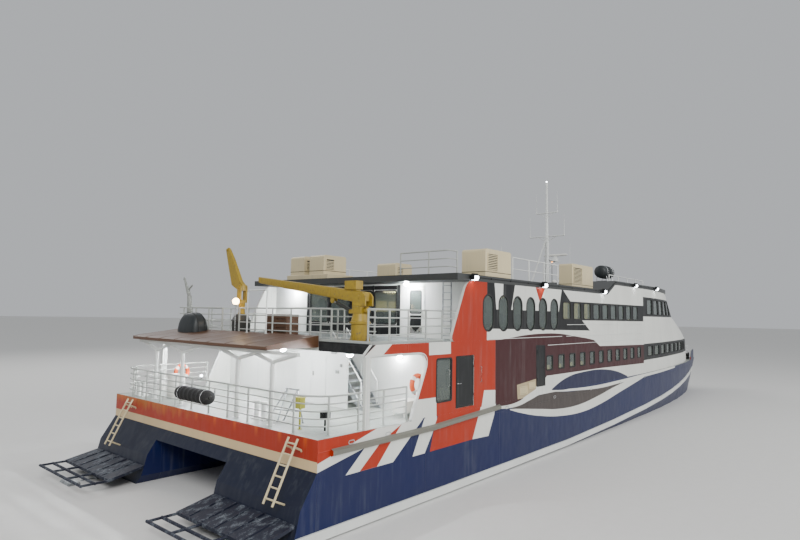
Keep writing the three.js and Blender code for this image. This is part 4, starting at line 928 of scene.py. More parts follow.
# Columns: name, shell, first height, last height, x of each side window, width there.
FRONT_ROWS = [
    ("main_front", MAIN_FRONT, 1.04, 1.70, [29.0, 30.6, 32.2, 33.8, 35.4, 37.0, 38.6, 40.2], 1.2),
    ("wheelhouse", WHEELHOUSE, 3.75, 4.75, [29.0, 30.6, 32.2, 33.8, 35.4], 1.3),
]
AHEAD = [(0.76, 1.3), (2.22, 1.3), (3.62, 1.2)]
for name, shell, low, high, abeam, width in FRONT_ROWS:
    panes, gaskets = bmesh.new(), bmesh.new()
    for s in (1, -1):
        for x in abeam:
            bent_pane(panes, gaskets, lambda u, z, depth: (u, s * (face_abeam(shell, u, z) - depth), z),
                      x - width / 2, x + width / 2, MAIN + low, MAIN + high)
        for y, wide in AHEAD:
            bent_pane(panes, gaskets, lambda u, z, depth: (face_ahead(shell, u, z) - depth, s * u, z),
                      y - wide / 2, y + wide / 2, MAIN + low, MAIN + high)
    window_pieces(f"{name}_{{}}", panes, gaskets, 0.0)
print("front windows:", 2 * sum(len(row[4]) + len(AHEAD) for row in FRONT_ROWS))

# %% [markdown]
# ## Guard rails
# Rails are welded from round aluminium tube. The top bar is a little thicker than the others,
# corners are bent and not mitred, and each post stands on a round foot that is bolted down. The
# helper rounds the path's corners, runs every bar along it and sets a post at even steps.

# %% Helpers for rails
BAR = 0.021
POST = 0.032


def eased(path, radius, steps=6):
    """Rounds the corners of a path in plan."""
    points = [Vector((*p, 0)) for p in path]
    smooth = [points[0]]
    for before, corner, after in zip(points, points[1:], points[2:]):
        reach = min(radius, (corner - before).length / 2, (after - corner).length / 2)
        start = corner + (before - corner).normalized() * reach
        end = corner + (after - corner).normalized() * reach
        for i in range(steps + 1):
            t = i / steps
            smooth.append((1 - t) ** 2 * start + 2 * t * (1 - t) * corner + t ** 2 * end)
    return smooth + [points[-1]]


def stations(path, pitch):
    """Places at even steps along a path, its two ends among them."""
    lengths = [(b - a).length for a, b in zip(path, path[1:])]
    count = max(1, round(sum(lengths) / pitch))
    places, walked, i = [], 0.0, 0
    for k in range(count + 1):
        goal = sum(lengths) * k / count
        while i < len(lengths) - 1 and walked + lengths[i] < goal:
            walked += lengths[i]
            i += 1
        places.append(path[i].lerp(path[i + 1], min(1, (goal - walked) / lengths[i])))
    return places


def bolted_foot(bm, place, radius=0.075, bolts=4):
    """A round foot with its bolts."""
    turned(bm, [(0.0, 0.002), (radius, 0.002), (radius, 0.012), (radius * 0.6, 0.016), (0.0, 0.016)],
           place, sides=16)
    for i in range(bolts):
        a = math.pi * (2 * i + 1) / bolts
        spot = Vector(place) + Vector((0.72 * radius * math.cos(a), 0.72 * radius * math.sin(a), 0.01))
        turned(bm, [(0.0, 0), (0.011, 0), (0.011, 0.012), (0.0, 0.014)], spot, sides=6)


def guard_rail(bm, path, deck, heights, pitch, bend=0.16):
    """A rail along a path in plan, with a bar at each height and a post at even steps."""
    smooth = eased(path, bend)
    for height in heights:
        thick = BAR * (1.35 if height == heights[-1] else 1)
        tube(bm, [p + Vector((0, 0, deck + height)) for p in smooth], thick, 10)
    for place in stations(smooth, pitch):
        foot = place + Vector((0, 0, deck))
        post(bm, foot, heights[-1], POST)
        bolted_foot(bm, foot)


def arc(cx, cy, radius, start, end, steps):
    """Points of a part of a circle in plan."""
    turns = [math.radians(start + (end - start) * i / steps) for i in range(steps + 1)]
    return [(cx + radius * math.cos(a), cy + radius * math.sin(a)) for a in turns]


print("rail helpers ready")

# %% [markdown]
# ## The ship's five rails
# The stern rail has five bars and round corners, the upper deck's rail has four and ends at the
# raked fin on each side, and a rail of the same kind goes round the stair's well. A low coaming
# runs under the upper rail and keeps the wash water on deck.

# %% Rails
UPPER_BARS = (0.28, 0.55, 0.83, 1.1)
RAIL_X, RAIL_Y, RAIL_END = 2.4, 5.96, 6.1

bm = bmesh.new()
stern_path = [(4.0, 6.08), *arc(1.02, 5.18, 0.9, 90, 180, 8), *arc(1.02, -5.18, 0.9, 180, 270, 8),
              (4.0, -6.08)]
guard_rail(bm, stern_path, MAIN, [0.25, 0.46, 0.67, 0.88, 1.1], 1.15, 0.05)
piece("stern_rail_tubes", bm, rail_enamel, replaces=["stern_rail"])

bm = bmesh.new()
for run in ([(RAIL_END, RAIL_Y), (RAIL_X, RAIL_Y), (RAIL_X, 2.45)], [(RAIL_X, 1.25), (RAIL_X, -4.1)],
            [(RAIL_X, -5.8), (RAIL_X, -RAIL_Y), (RAIL_END, -RAIL_Y)]):
    guard_rail(bm, run, UPPER, UPPER_BARS, 1.0)
for s in (1, -1):
    for height in UPPER_BARS:
        at_fin = (6.36 + 0.43 * height, s * 6.21, UPPER + height)
        tube(bm, [(RAIL_END, s * RAIL_Y, UPPER + height), at_fin], BAR, 10)
guard_rail(bm, [(4.14, -1.6), (4.14, -3.42), (5.4, -3.42), (5.4, -1.6)], UPPER, UPPER_BARS, 0.9)
for low, high in (((2.36, -6.0), (2.44, 6.0)), ((2.4, 5.92), (6.1, 6.0)), ((2.4, -6.0), (6.1, -5.92))):
    block(bm, (*low, UPPER + 0.001), (*high, UPPER + 0.08))
piece("upper_rail_tubes", bm, rail_enamel, bevel=0.006, replaces=["upper_rail"])

bm = bmesh.new()
guard_rail(bm, [(7.2, -3.0), (7.2, -5.45), (7.75, -5.45)], ROOF_AFT, [0.32, 0.63, 0.95], 1.25)
piece("roof_rail_tubes", bm, rail_enamel, replaces=["roof_rail"])
bm = bmesh.new()
guard_rail(bm, [(46.6, 4.15), (45.35, 3.35), (45.35, -3.35), (46.6, -4.15)], MAIN, [0.35, 0.7, 1.05], 1.2)
piece("foredeck_rail_tubes", bm, bar_enamel, replaces=["foredeck_rail"])
print("rails made")

# %% [markdown]
# ## Awning posts
# Four posts fork like a Y under the awning. They are bent from round tube, with a foot bolted to
# the deck and a small plate where each arm meets the beam.

# %% Forked posts and their beam
FORK_X = 0.42
FORKS_Y = [3.85, 1.85, -1.75, -3.6]
ARM = [(0.0, 1.8), (0.02, 1.9), (0.1, 1.95), (1.2, 2.22)]
bm = bmesh.new()
for y in FORKS_Y:
    foot = Vector((FORK_X, y, MAIN))
    post(bm, foot, 1.95, 0.075, 20)
    bolted_foot(bm, foot, 0.13, 6)
    for s in (1, -1):
        tube(bm, [foot + Vector((0, s * out, up)) for out, up in ARM], 0.062, 16)
        end = y + s * ARM[-1][0]
        block(bm, (FORK_X - 0.05, end - 0.09, MAIN + 2.16), (FORK_X + 0.05, end + 0.09, MAIN + 2.175))
block(bm, (FORK_X - 0.055, -4.85, MAIN + 2.17), (FORK_X + 0.055, 5.3, MAIN + 2.27))
piece("awning_posts", bm, bar_enamel, bevel=0.008, replaces=["canopy_frame"])
print("posts:", len(FORKS_Y))

# %% [markdown]
# ## Jets
# A waterjet leaves through a nozzle that swings to steer, and a bucket drops behind it to send
# the water forward. All of it is cast and machined alloy, so these forms are turned with many
# sides, flanges carry rings of bolts, and the bucket has a rolled hood.

# %% Housings
JET = {"y": 4.28, "z": -0.42, "ball": 0.34, "radius": 0.52}
TRANSOM = [(0, MAIN + 0.5), (0, MAIN - 0.88), (-0.55, MAIN - 1.75), (-0.66, MAIN - 2.2), (-1.2, -1.5)]
AFT = (-1, 0, 0)
# Columns: distance ahead of the housing's end, radius.
HOUSING = [(0.3, 0.52), (0.27, 0.5), (0.12, 0.44), (0.06, 0.43), (0.06, 0.47), (0.02, 0.47), (0.0, 0.42)]


def transom_x(z):
    """x of the transom at a height."""
    for (x0, z0), (x1, z1) in zip(TRANSOM, TRANSOM[1:]):
        if z1 <= z <= z0:
            return x0 + (x1 - x0) * (z0 - z) / (z0 - z1)
    return TRANSOM[-1][0]


JET_END = transom_x(JET["z"]) - 0.6
STEER_X = JET_END - 0.02 - JET["ball"]
BUCKET_X = STEER_X - 0.2
for side, s in SIDES.items():
    y, z = s * JET["y"], JET["z"]
    bm = bmesh.new()
    raked = [Vector((transom_x(p.z) - 0.002, p.y, p.z)) for p in ring_at((0, y, z), AFT, JET["radius"], 40)]
    rings = [ring_at((JET_END + ahead_by, y, z), AFT, radius, 40) for ahead_by, radius in HOUSING]
    skin(bm, [raked, *rings])
    bolt_ring(bm, (JET_END + 0.06, y, z), 0.45, 16, 0.014, 0.02, (1, 0, 0))
    for up in (1, -1):
        lug_z = z + up * 0.4
        block(bm, (STEER_X - 0.1, y - 0.07, lug_z - 0.03), (JET_END + 0.1, y + 0.07, lug_z + 0.03))
        turned(bm, [(0, -0.055), (0.05, -0.055), (0.05, 0.05), (0.03, 0.062), (0, 0.062)],
               (STEER_X, y, lug_z), (0, 0, up), 20)
    piece(f"jet_housing_{side}", bm, marine_alloy, bevel=0.008,
          replaces=[f"waterjet_{side}"])
print("jets end at:", round(JET_END, 3), "m")

# %% [markdown]
# ## Nozzles and buckets
# The nozzle is a hollow cone with a wall of 4 cm, turned in one go from a closed profile. The
# bucket's cheeks are cut from plate, and its hood is one rolled section between them.

# %% Nozzles and buckets
# Columns: radius, distance behind the steering axis. The profile closes on itself.
CONE = [(0.2, -0.27), (0.28, -0.19), (0.325, -0.1), (0.34, 0), (0.335, 0.1), (0.31, 0.25), (0.27, 0.36),
        (0.24, 0.43), (0.235, 0.45), (0.195, 0.45), (0.19, 0.42), (0.195, 0.2), (0.2, 0), (0.2, -0.27)]
CHEEK = [(0.1, -0.1), (0.1, 0.12), (-0.1, 0.5), (-0.42, 0.5), (-0.47, 0.42), (-0.46, 0.3), (-0.1, -0.1)]
HOOD = [(-0.08, 0.44), (-0.08, 0.5), (-0.42, 0.5), (-0.47, 0.42), (-0.49, 0.32), (-0.5, 0.22),
        (-0.45, 0.2), (-0.44, 0.32), (-0.42, 0.4), (-0.38, 0.45)]
for side, s in SIDES.items():
    y, z = s * JET["y"], JET["z"]
    bm = bmesh.new()
    skin(bm, [ring_at((STEER_X - back, y, z), AFT, radius, 40) for radius, back in CONE], closed=True)
    for out in (1, -1):
        turned(bm, [(0, 0.24), (0.045, 0.24), (0.045, 0.36), (0.03, 0.369), (0, 0.369)],
               (BUCKET_X, y, z), (0, out, 0), 16)
    piece(f"steering_cone_{side}", bm, marine_alloy, f"steering_nozzle_{side}", 0.004,
          [f"steering_nozzle_{side}"])

    bm = bmesh.new()
    for out in (1, -1):
        plate(bm, CHEEK, y + out * 0.37, y + out * 0.42, at=(BUCKET_X, z))
        disc(bm, (BUCKET_X, y + out * 0.42, z), 0.07, -0.012, 0.0, (0, out, 0), 20)
    plate(bm, HOOD, y - 0.39, y + 0.39, at=(BUCKET_X, z))
    piece(f"reversing_hood_{side}", bm, marine_alloy, f"reversing_bucket_{side}", 0.008,
          [f"reversing_bucket_{side}"])
print("jets dressed")

# %% [markdown]
# ## Starboard crane
# A hydraulic crane for the ship's boat. Its boom is a box folded from plate and tapers to the
# head. The pedestal is a pipe with a flange and stiffening webs, and bolts and a hydraulic
# motor give it its rough outline.

# %% Pedestal of the starboard crane
CRANE = {"x": 2.9, "y": -4.95, "pivot": (-5.08, UPPER + 1.5), "neck": UPPER + 0.95}
cx, cy, pivot = CRANE["x"], CRANE["y"], CRANE["pivot"]
ALONG_X = (1, 0, 0)
bm = bmesh.new()
turned(bm, [(0, 0), (0.36, 0), (0.36, 0.03), (0.3, 0.035), (0.3, 0.6), (0.35, 0.62), (0.35, 0.68),
            (0.31, 0.7), (0.26, 0.9), (0.25, 0.95), (0, 0.95)], (cx, cy, UPPER), sides=36)
bolt_ring(bm, (cx, cy, UPPER + 0.03), 0.33, 14, 0.018, 0.02)
bolt_ring(bm, (cx, cy, UPPER + 0.68), 0.325, 16, 0.013, 0.015)
WEB = [(0.28, 0.03), (0.355, 0.03), (0.3, 0.3), (0.28, 0.3)]
for i in range(6):
    a = math.pi * i / 3
    spoke = Vector((math.cos(a), math.sin(a), 0))
    half_plate = Vector((-math.sin(a), math.cos(a), 0)) * 0.012
    skin(bm, [[Vector((cx, cy, UPPER + up)) + spoke * out + half_plate * t for out, up in WEB]
              for t in (-1, 1)])
piece("starboard_pedestal_casting", bm, yellow_enamel, bevel=0.006,
      replaces=["crane_pedestal_starboard"])
print("pedestal made")

# %% [markdown]
# ## The starboard crane's boom
# The boom is a box beam folded from plate, deep at the heel and shallow at the head, so it is a
# skin over stations in a table. Its long edges are folded, not sharp, and bands of doubling plate,
# the hydraulic motor and the ram's eye are set on it.

# %% Boom of the starboard crane
# Columns: distance along, underside, top, half width.
BOOM = [(-0.16, -0.14, 0.16, 0.12), (0.3, -0.157, 0.22, 0.12), (0.4, -0.155, 0.231, 0.12),
        (1.6, 0.0, 0.367, 0.115), (4.2, 0.377, 0.66, 0.11), (5.6, 0.58, 0.823, 0.105),
        (5.72, 0.63, 0.835, 0.1)]


def box_beam(bm, beam, x, heel):
    """A box beam through stations, its long edges rounded. heel is y and z where it starts."""
    rings = []
    for along, low, high, wide in beam:
        r = min(0.035, (high - low) / 3, wide / 3)
        corners = [(wide, low, -1, 1), (wide, high, -1, -1), (-wide, high, 1, -1), (-wide, low, 1, 1)]
        ring = []
        for k, (u, v, du, dv) in enumerate(corners):
            bend = [(du * r, 0), (0.29 * du * r, 0.29 * dv * r), (0, dv * r)]
            ring += [Vector((x + u + across, heel[0] + along, heel[1] + v + up))
                     for across, up in (bend if k % 2 == 0 else bend[::-1])]
        rings.append(ring)
    skin(bm, rings)


def by_pivot(x, along, up):
    """A point of the crane, from its pivot."""
    return cx + x, pivot[0] + along, pivot[1] + up


bm = bmesh.new()
box_beam(bm, BOOM, cx, pivot)
disc(bm, by_pivot(0, 0, 0), 0.06, -0.139, 0.139, ALONG_X)
block(bm, by_pivot(-0.17, 0.2, 0.26), by_pivot(0.17, 0.74, 0.55))
block(bm, by_pivot(-0.1, 0.24, 0.18), by_pivot(0.1, 0.7, 0.27))
disc(bm, by_pivot(0, 0.47, 0.41), 0.1, -0.175, 0.175, ALONG_X)
bolt_ring(bm, by_pivot(0.172, 0.47, 0.41), 0.13, 8, 0.012, 0.012, ALONG_X)
EYE = [(1.34, 0.02), (1.34, -0.13), (1.38, -0.19), (1.43, -0.21), (1.48, -0.19), (1.52, -0.13), (1.52, 0.04)]
for s in (1, -1):
    plate(bm, EYE, cx + s * 0.055, cx + s * 0.085, "x", pivot)
    for along, low, high, half in BOOM[3:6]:
        block(bm, by_pivot(s * half - 0.008, along - 0.05, low + 0.02),
              by_pivot(s * half + 0.008, along + 0.05, high - 0.02))
piece("starboard_boom_plating", bm, yellow_enamel, "crane_boom_starboard", 0.006,
      ["crane_boom_starboard"])
print("boom made:", BOOM[-1][0], "m")

# %% [markdown]
# ## The starboard crane's column and ram
# The column is a short square post with two cheeks that carry the boom's pin and two ears for
# the foot of the ram. The ram is a steel tube with a gland at its end, and its rod is ground,
# plated with hard chrome and polished, so it is the brightest metal on board.

# %% Column, ram and rod
NECK = CRANE["neck"]
FORK_CHEEK = [(-0.27, -0.3), (0.33, -0.3), (0.33, 0.04), (0.14, 0.16), (-0.1, 0.16), (-0.2, 0.1), (-0.27, 0)]
EAR = [(0.28, -0.548), (0.57, -0.548), (0.57, -0.46), (0.53, -0.42), (0.46, -0.41), (0.28, -0.44)]
bm = bmesh.new()
block(bm, (cx - 0.2, cy - 0.2, NECK + 0.001), (cx + 0.2, cy + 0.2, NECK + 0.24))
for s in (1, -1):
    plate(bm, FORK_CHEEK, cx + s * 0.14, cx + s * 0.2, "x", pivot)
    turned(bm, [(0, 0.198), (0.07, 0.198), (0.07, 0.215), (0.045, 0.225), (0, 0.225)],
           (cx, *pivot), (s, 0, 0), 6)
    plate(bm, EAR, cx + s * 0.08, cx + s * 0.115, "x", pivot)
turned(bm, [(0, 0), (0.1, 0), (0.1, 0.16), (0.07, 0.19), (0, 0.19)], (cx, cy - 0.2, NECK + 0.12),
       (0, -1, 0), 24)
piece("starboard_column_fork", bm, yellow_enamel, "crane_column_starboard", 0.008,
      ["crane_column_starboard"])

foot, eye = Vector(by_pivot(0, 0.5, -0.48)), Vector(by_pivot(0, 1.43, -0.13))
along = (eye - foot).normalized()
BARREL = [(0.0, -0.05), (0.04, -0.05), (0.062, -0.03), (0.065, 0.0), (0.065, 0.77), (0.07, 0.775),
          (0.07, 0.83), (0.06, 0.84), (0.037, 0.84), (0.037, 0.03), (0.0, 0.03)]
bm = bmesh.new()
turned(bm, BARREL, foot, along, 28)
for s in (1, -1):
    disc(bm, foot, 0.03, 0.04, 0.079, (s, 0, 0), 16)
piece("ram_barrel", bm, dark_enamel, "crane_ram_starboard", 0.0, ["crane_ram_starboard"])
bm = bmesh.new()
turned(bm, [(0, 0.08), (0.034, 0.08), (0.034, 0.93), (0.04, 0.94), (0, 0.97)], foot, along, 28)
disc(bm, eye, 0.05, -0.044, 0.044, ALONG_X)
piece("ram_rod_polished", bm, hard_chrome, "crane_rod_starboard", 0.0, ["crane_rod_starboard"])
print("starboard crane dressed")

# %% [markdown]
# ## The port crane
# The port crane is an old one: a cranked boom on a round cast base. The boom is a skin over
# sections that stand square to its bend, and pins, bosses and washers show where it turns.

# %% Port crane
PORT_CRANE = {"x": 2.9, "y": 1.85, "neck": UPPER + 0.85, "pivot_z": UPPER + 1.92}
px, py, pz = PORT_CRANE["x"], PORT_CRANE["y"], PORT_CRANE["pivot_z"]
collar = pz - PORT_CRANE["neck"] - 0.5
PORT_CHEEK = [(-0.13, -0.58), (0.13, -0.58), (0.13, 0.02), (0.09, 0.11), (0, 0.14), (-0.09, 0.11),
              (-0.13, 0.02)]
# Columns: y and height of the underside, then of the top, then half the width.
CRANKED = [(-0.12, -0.1, -0.1, 0.14, 0.09), (0.1, -0.13, 0.0, 0.22, 0.09), (0.5, 0.05, 0.1, 0.29, 0.09),
           (0.68, 0.14, 0.18, 0.42, 0.088), (0.76, 0.35, 0.3, 0.62, 0.08), (0.98, 0.9, 0.66, 1.2, 0.068),
           (1.2, 1.5, 0.98, 1.64, 0.055), (1.25, 1.64, 1.1, 1.745, 0.05)]
bm = bmesh.new()
turned(bm, [(0, 0), (0.4, 0), (0.4, 0.03), (0.36, 0.04), (0.37, 0.56), (0.4, 0.57), (0.4, 0.61),
            (0.37, 0.64), (0.28, 0.8), (0.26, 0.85), (0, 0.85)], (px, py, UPPER), sides=36)
bolt_ring(bm, (px, py, UPPER + 0.61), 0.385, 18, 0.012, 0.014)
piece("port_base_casting", bm, dark_enamel, bevel=0.006, replaces=["crane_pedestal_port"])

bm = bmesh.new()
turned(bm, [(0, 0.002), (0.15, 0.002), (0.15, 0.06), (0.13, 0.08), (0.13, collar - 0.05), (0.15, collar),
            (0, collar)], (px, py, PORT_CRANE["neck"]), sides=28)
block(bm, (px - 0.17, py - 0.13, pz - 0.6), (px + 0.17, py + 0.13, pz - 0.48))
for s in (1, -1):
    plate(bm, PORT_CHEEK, px + s * 0.11, px + s * 0.17, "x", (py, pz))
    turned(bm, [(0, 0.168), (0.05, 0.168), (0.05, 0.19), (0.03, 0.2), (0, 0.2)], (px, py, pz), (s, 0, 0), 6)
piece("port_column_fork", bm, yellow_enamel, "crane_column_port", 0.006,
      ["crane_column_port"])

bm = bmesh.new()
skin(bm, [[Vector((px + u, py + v, pz + w)) for u, v, w in
           ((-half, y0, z0), (half, y0, z0), (half, y1, z1), (-half, y1, z1))]
          for y0, z0, y1, z1, half in CRANKED])
disc(bm, (px, py, pz), 0.05, -0.109, 0.109, ALONG_X, 20)
turned(bm, [(0, -0.07), (0.06, -0.07), (0.045, 0), (0.06, 0.07), (0, 0.07)],
       (px, py + 1.16, pz + 1.64), ALONG_X, 20)
piece("port_cranked_boom", bm, yellow_enamel, "crane_boom_port", 0.014, ["crane_boom_port"])
print("port crane dressed")

# %% [markdown]
# ## The davit
# The davit is one tube bent over the side. Its arm gets thinner towards the head, so the tube
# takes a radius for each point. A short brace stiffens the bend.

# %% Davit
DAVIT = Vector((2.75, 5.7, UPPER + 1.55))
# Columns: distance outboard and height from the bend, radius.
DAVIT_ARM = [(0, -1.3, 0.11), (0, -0.3, 0.108), (0.01, -0.1, 0.104), (0.05, 0.05, 0.098), (0.13, 0.22, 0.09),
             (0.35, 0.57, 0.06), (0.56, 0.9, 0.036), (0.58, 0.93, 0.02)]
bm = bmesh.new()
turned(bm, [(0, 0.002), (0.17, 0.002), (0.17, 0.05), (0.14, 0.07), (0.13, 0.3), (0, 0.3)],
       (DAVIT.x, DAVIT.y, UPPER), sides=28)
bolt_ring(bm, (DAVIT.x, DAVIT.y, UPPER + 0.05), 0.15, 8, 0.012, 0.015)
tube(bm, [DAVIT + Vector((0, out, up)) for out, up, _ in DAVIT_ARM], [r for _, _, r in DAVIT_ARM], 24)
tube(bm, [DAVIT + Vector((0, out, up)) for out, up in ((0.2, 0.3), (0.03, 0.42), (-0.16, 0.56))], 0.04, 14)
turned(bm, [(0, -0.04), (0.055, -0.04), (0.04, 0), (0.055, 0.04), (0, 0.04)],
       DAVIT + Vector((0, 0.52, 0.84)), ALONG_X, 20)
piece("davit_tube", bm, grey_enamel, "davit_arm", 0.004, ["davit_arm"])
print("lifting gear dressed")

# %% [markdown]
# ## Floodlights
# Every lamp is switched on. Floodlights hang outside the roof on a conduit and wash down the
# sides. Each is a folded case with cooling fins, a bracket at each end and a bent lens.

# %% Floodlights along the roof's edge
CONDUIT_AFT, CONDUIT_FORE = ROOF_AFT - 0.1, ROOF_FORE - 0.1
STEP_AFT, STEP_FORE = 21.3, 22.6
CONDUIT = [(7.4, CONDUIT_AFT), (STEP_AFT, CONDUIT_AFT), (STEP_FORE, CONDUIT_FORE), (30.4, CONDUIT_FORE)]
FLOODLIGHTS = [(7.55, CONDUIT_AFT), (13.34, CONDUIT_AFT), (20.56, CONDUIT_AFT), (25.83, CONDUIT_FORE),
               (30.28, CONDUIT_FORE)]
CASE = [(-0.08, 0.1), (0.06, 0.1), (0.08, 0.06), (0.08, -0.08), (0.02, -0.13), (-0.08, -0.13)]
FRONT_LENS = [(0.02, -0.134), (0.084, -0.08), (0.084, 0.03), (0.078, 0.03), (0.076, -0.076), (0.02, -0.126)]
LOWER_LENS = [(-0.07, -0.136), (0.02, -0.136), (0.02, -0.128), (-0.07, -0.128)]


def roof_edge(x):
    """Distance of the roof's edge from the centreline."""
    return SIDE_Y if x < STEP_FORE else SIDE_Y - 0.09 * (x - STEP_FORE) / 7.92


for side, s in SIDES.items():
    bm, lenses = bmesh.new(), bmesh.new()
    tube(bm, [(x, s * (roof_edge(x) + 0.022), z) for x, z in CONDUIT], 0.018, 10)
    for x in [7.4 + 1.53 * i for i in range(16)]:
        z = CONDUIT_AFT if x < STEP_AFT else CONDUIT_FORE
        if x < STEP_AFT or x > STEP_FORE:
            block(bm, (x - 0.02, s * (roof_edge(x) + 0.001), z - 0.03),
                  (x + 0.02, s * (roof_edge(x) + 0.045), z + 0.03))
    for x, z in FLOODLIGHTS:
        y = roof_edge(x) + 0.14
        plate(bm, [(s * (y + u), z + v) for u, v in CASE], x - 0.15, x + 0.15, "x")
        for i in range(7):
            fin = x - 0.135 + 0.045 * i
            block(bm, (fin - 0.006, s * (y - 0.07), z + 0.09), (fin + 0.006, s * (y + 0.05), z + 0.125))
        for end in (x - 0.165, x + 0.165):
            block(bm, (end - 0.008, s * (y - 0.13), z - 0.03), (end + 0.008, s * (y + 0.02), z + 0.02))
        for glass in (FRONT_LENS, LOWER_LENS):
            plate(lenses, [(s * (y + u), z + v) for u, v in glass], x - 0.13, x + 0.13, "x")
    piece(f"floodlight_housings_{side}", bm, black_enamel, bevel=0.004,
          replaces=[f"roof_lamps_{side}"])
    piece(f"floodlight_lenses_{side}", lenses, white_lens)
print("floodlights:", 2 * len(FLOODLIGHTS))

# %% [markdown]
# ## Deck lamps
# The after decks are lit by bulkhead lamps: a round cast base, a glass and two crossed wires
# that guard it. They hang under the deck above, and two stand on the saloon's bulkhead.

# %% Deck lamps and the globe
DOWN = (0, 0, -1)
LAMP_PLACES = [*(((2.5, y, UPPER - 0.335), DOWN) for y in (3.17, -1.44, 1.0, 5.0, -4.9)),
               *(((5.29, y, MAIN + 2.0), AFT) for y in (3.8, -4.7)),
               *(((UPPER_WALL_X - 0.42, y, ROOF_AFT - ROOF_PLATE), DOWN) for y in (-3.1, 4.4))]
WIRE = [(-0.12, 0.03), (-0.1, 0.1), (-0.05, 0.138), (0.05, 0.138), (0.1, 0.1), (0.12, 0.03)]


def guarded_lamp(bm, lens, place, out):
    """A round bulkhead lamp with a wire guard. out is the way that it faces."""
    turned(bm, [(0, 0), (0.13, 0), (0.13, 0.03), (0.11, 0.05), (0, 0.05)], place, out, 24)
    turned(lens, [(0, 0.045), (0.1, 0.045), (0.095, 0.08), (0.06, 0.115), (0, 0.125)], place, out, 24)
    out = Vector(out).normalized()
    across = out.cross(Vector(UP) if abs(out.z) < 0.9 else Vector(ALONG_X)).normalized()
    for way in (across, out.cross(across)):
        tube(bm, [Vector(place) + u * way + v * out for u, v in WIRE], 0.006, 6)


bm, lens = bmesh.new(), bmesh.new()
for place, out in LAMP_PLACES:
    guarded_lamp(bm, lens, place, out)
piece("deck_lamp_guards", bm, stainless_steel)
piece("deck_lamp_glasses", lens, deck_lens)

GLOBE = Vector((2.4, 1.53, UPPER + 1.36))
BALL = 0.14
bm, lens = bmesh.new(), bmesh.new()
tube(bm, [(GLOBE.x, GLOBE.y, UPPER + 0.005), (GLOBE.x, GLOBE.y, UPPER + 1.2)], 0.025, 14)
bolted_foot(bm, (GLOBE.x, GLOBE.y, UPPER + 0.002))
turned(bm, [(0, -0.19), (0.06, -0.19), (0.07, -0.15), (0.06, -0.12), (0, -0.12)], GLOBE, sides=20)
turned(lens, [(0.02, -BALL), *((BALL * math.sin(math.pi * i / 12), -BALL * math.cos(math.pi * i / 12))
                               for i in range(2, 12)), (0, BALL)], GLOBE, sides=28)
piece("globe_holder", bm, stainless_steel)
piece("globe_glass", lens, warm_lens)
print("deck lamps:", len(LAMP_PLACES))

# %% [markdown]
# ## Signal lights
# A ship under way shows a white light on the mast and at the stern, red to port and green to
# starboard. Each is a small drum: a base, a lens all round and a cap.

# %% Signal lights
# Columns: name, foot, height of the post, lens.
SIGNAL_LIGHTS = [
    ("masthead", (26.7, 0.0, 15.78), 0.06, white_lens),
    ("roof_amber", (25.4, -1.0, ROOF_FORE), 1.5, amber_lens),
    ("red_side", (34.6, 4.75, ROOF_FORE), 0.12, red_lens),
    ("green_side", (34.6, -4.75, ROOF_FORE), 0.12, green_lens),
    ("stern", (0.12, 0.0, MAIN + 1.13), 0.05, white_lens),
]
for name, foot, high, glow in SIGNAL_LIGHTS:
    bm, lens = bmesh.new(), bmesh.new()
    post(bm, Vector(foot), high, 0.02)
    top = Vector(foot) + Vector((0, 0, high))
    disc(bm, top, 0.055, 0, 0.02, sides=20)
    disc(lens, top, 0.045, 0.018, 0.1, sides=20)
    turned(bm, [(0, 0.098), (0.055, 0.098), (0.055, 0.115), (0.03, 0.13), (0, 0.13)], top, sides=20)
    piece(f"{name}_light_body", bm, black_enamel)
    piece(f"{name}_light_lens", lens, glow)
print("signal lights:", len(SIGNAL_LIGHTS))

# %% [markdown]
# ## Lifebuoys
# A lifebuoy is a hollow plastic ring 75 cm across with four bands of reflecting tape. It hangs in
# two hooks on the inner side of the ship's side plate.

# %% Lifebuoys
BUOYS = {"starboard": (4.6, -6.045, MAIN + 1.13), "port": (2.68, 5.98, MAIN + 0.74)}
BUOY_WALL = {"starboard": -6.15, "port": 6.05}
BUOY_RING = 0.285
ALONG_Y = (0, 1, 0)


def ring_of(bm, centre, axis, big, small, sides=48, around=16, start=0.0, share=1.0):
    """A ring with a round section, or a part of one."""
    axis = Vector(axis).normalized()
    spokes = ring_at((0, 0, 0), axis, 1.0, sides)
    whole = share == 1.0
    count = max(2, round(sides * share)) + (0 if whole else 1)
    rings = []
    for i in range(count):
        out = spokes[(round(sides * start) + i) % sides]
        turns = (2 * math.pi * k / around for k in range(around))
        rings.append([Vector(centre) + big * out + small * (math.cos(a) * out + math.sin(a) * axis)
                      for a in turns])
    skin(bm, rings, closed=whole)


hooks = bmesh.new()
for side, s in SIDES.items():
    place = x, y, z = BUOYS[side]
    wall, off = BUOY_WALL[side], y - s * 0.1
    ring, tape = bmesh.new(), bmesh.new()
    ring_of(ring, place, ALONG_Y, BUOY_RING, 0.085)
    for i in range(4):
        ring_of(tape, place, ALONG_Y, BUOY_RING, 0.088, start=0.25 * i + 0.1, share=0.06)
    piece(f"lifebuoy_{side}", ring, buoy_orange)
    piece(f"lifebuoy_tape_{side}", tape, buoy_tape)
    for dx in (-0.16, 0.2):
        tube(hooks, [(x + dx, wall, z - 0.3), (x + dx, off, z - 0.3), (x + dx, off, z - 0.22)], 0.012, 8)
piece("lifebuoy_hooks", hooks, stainless_steel)
print("lifebuoys:", len(BUOYS))

# %% [markdown]
# ## Drum and fender
# The drum is a ribbed plastic moulding with a lid, and its ribs keep the thin wall stiff. The
# fender is a rubber roll with rings moulded round it, held on two steel brackets at the stern.
# Both are turned forms, so one profile with its ribs in a loop draws each.

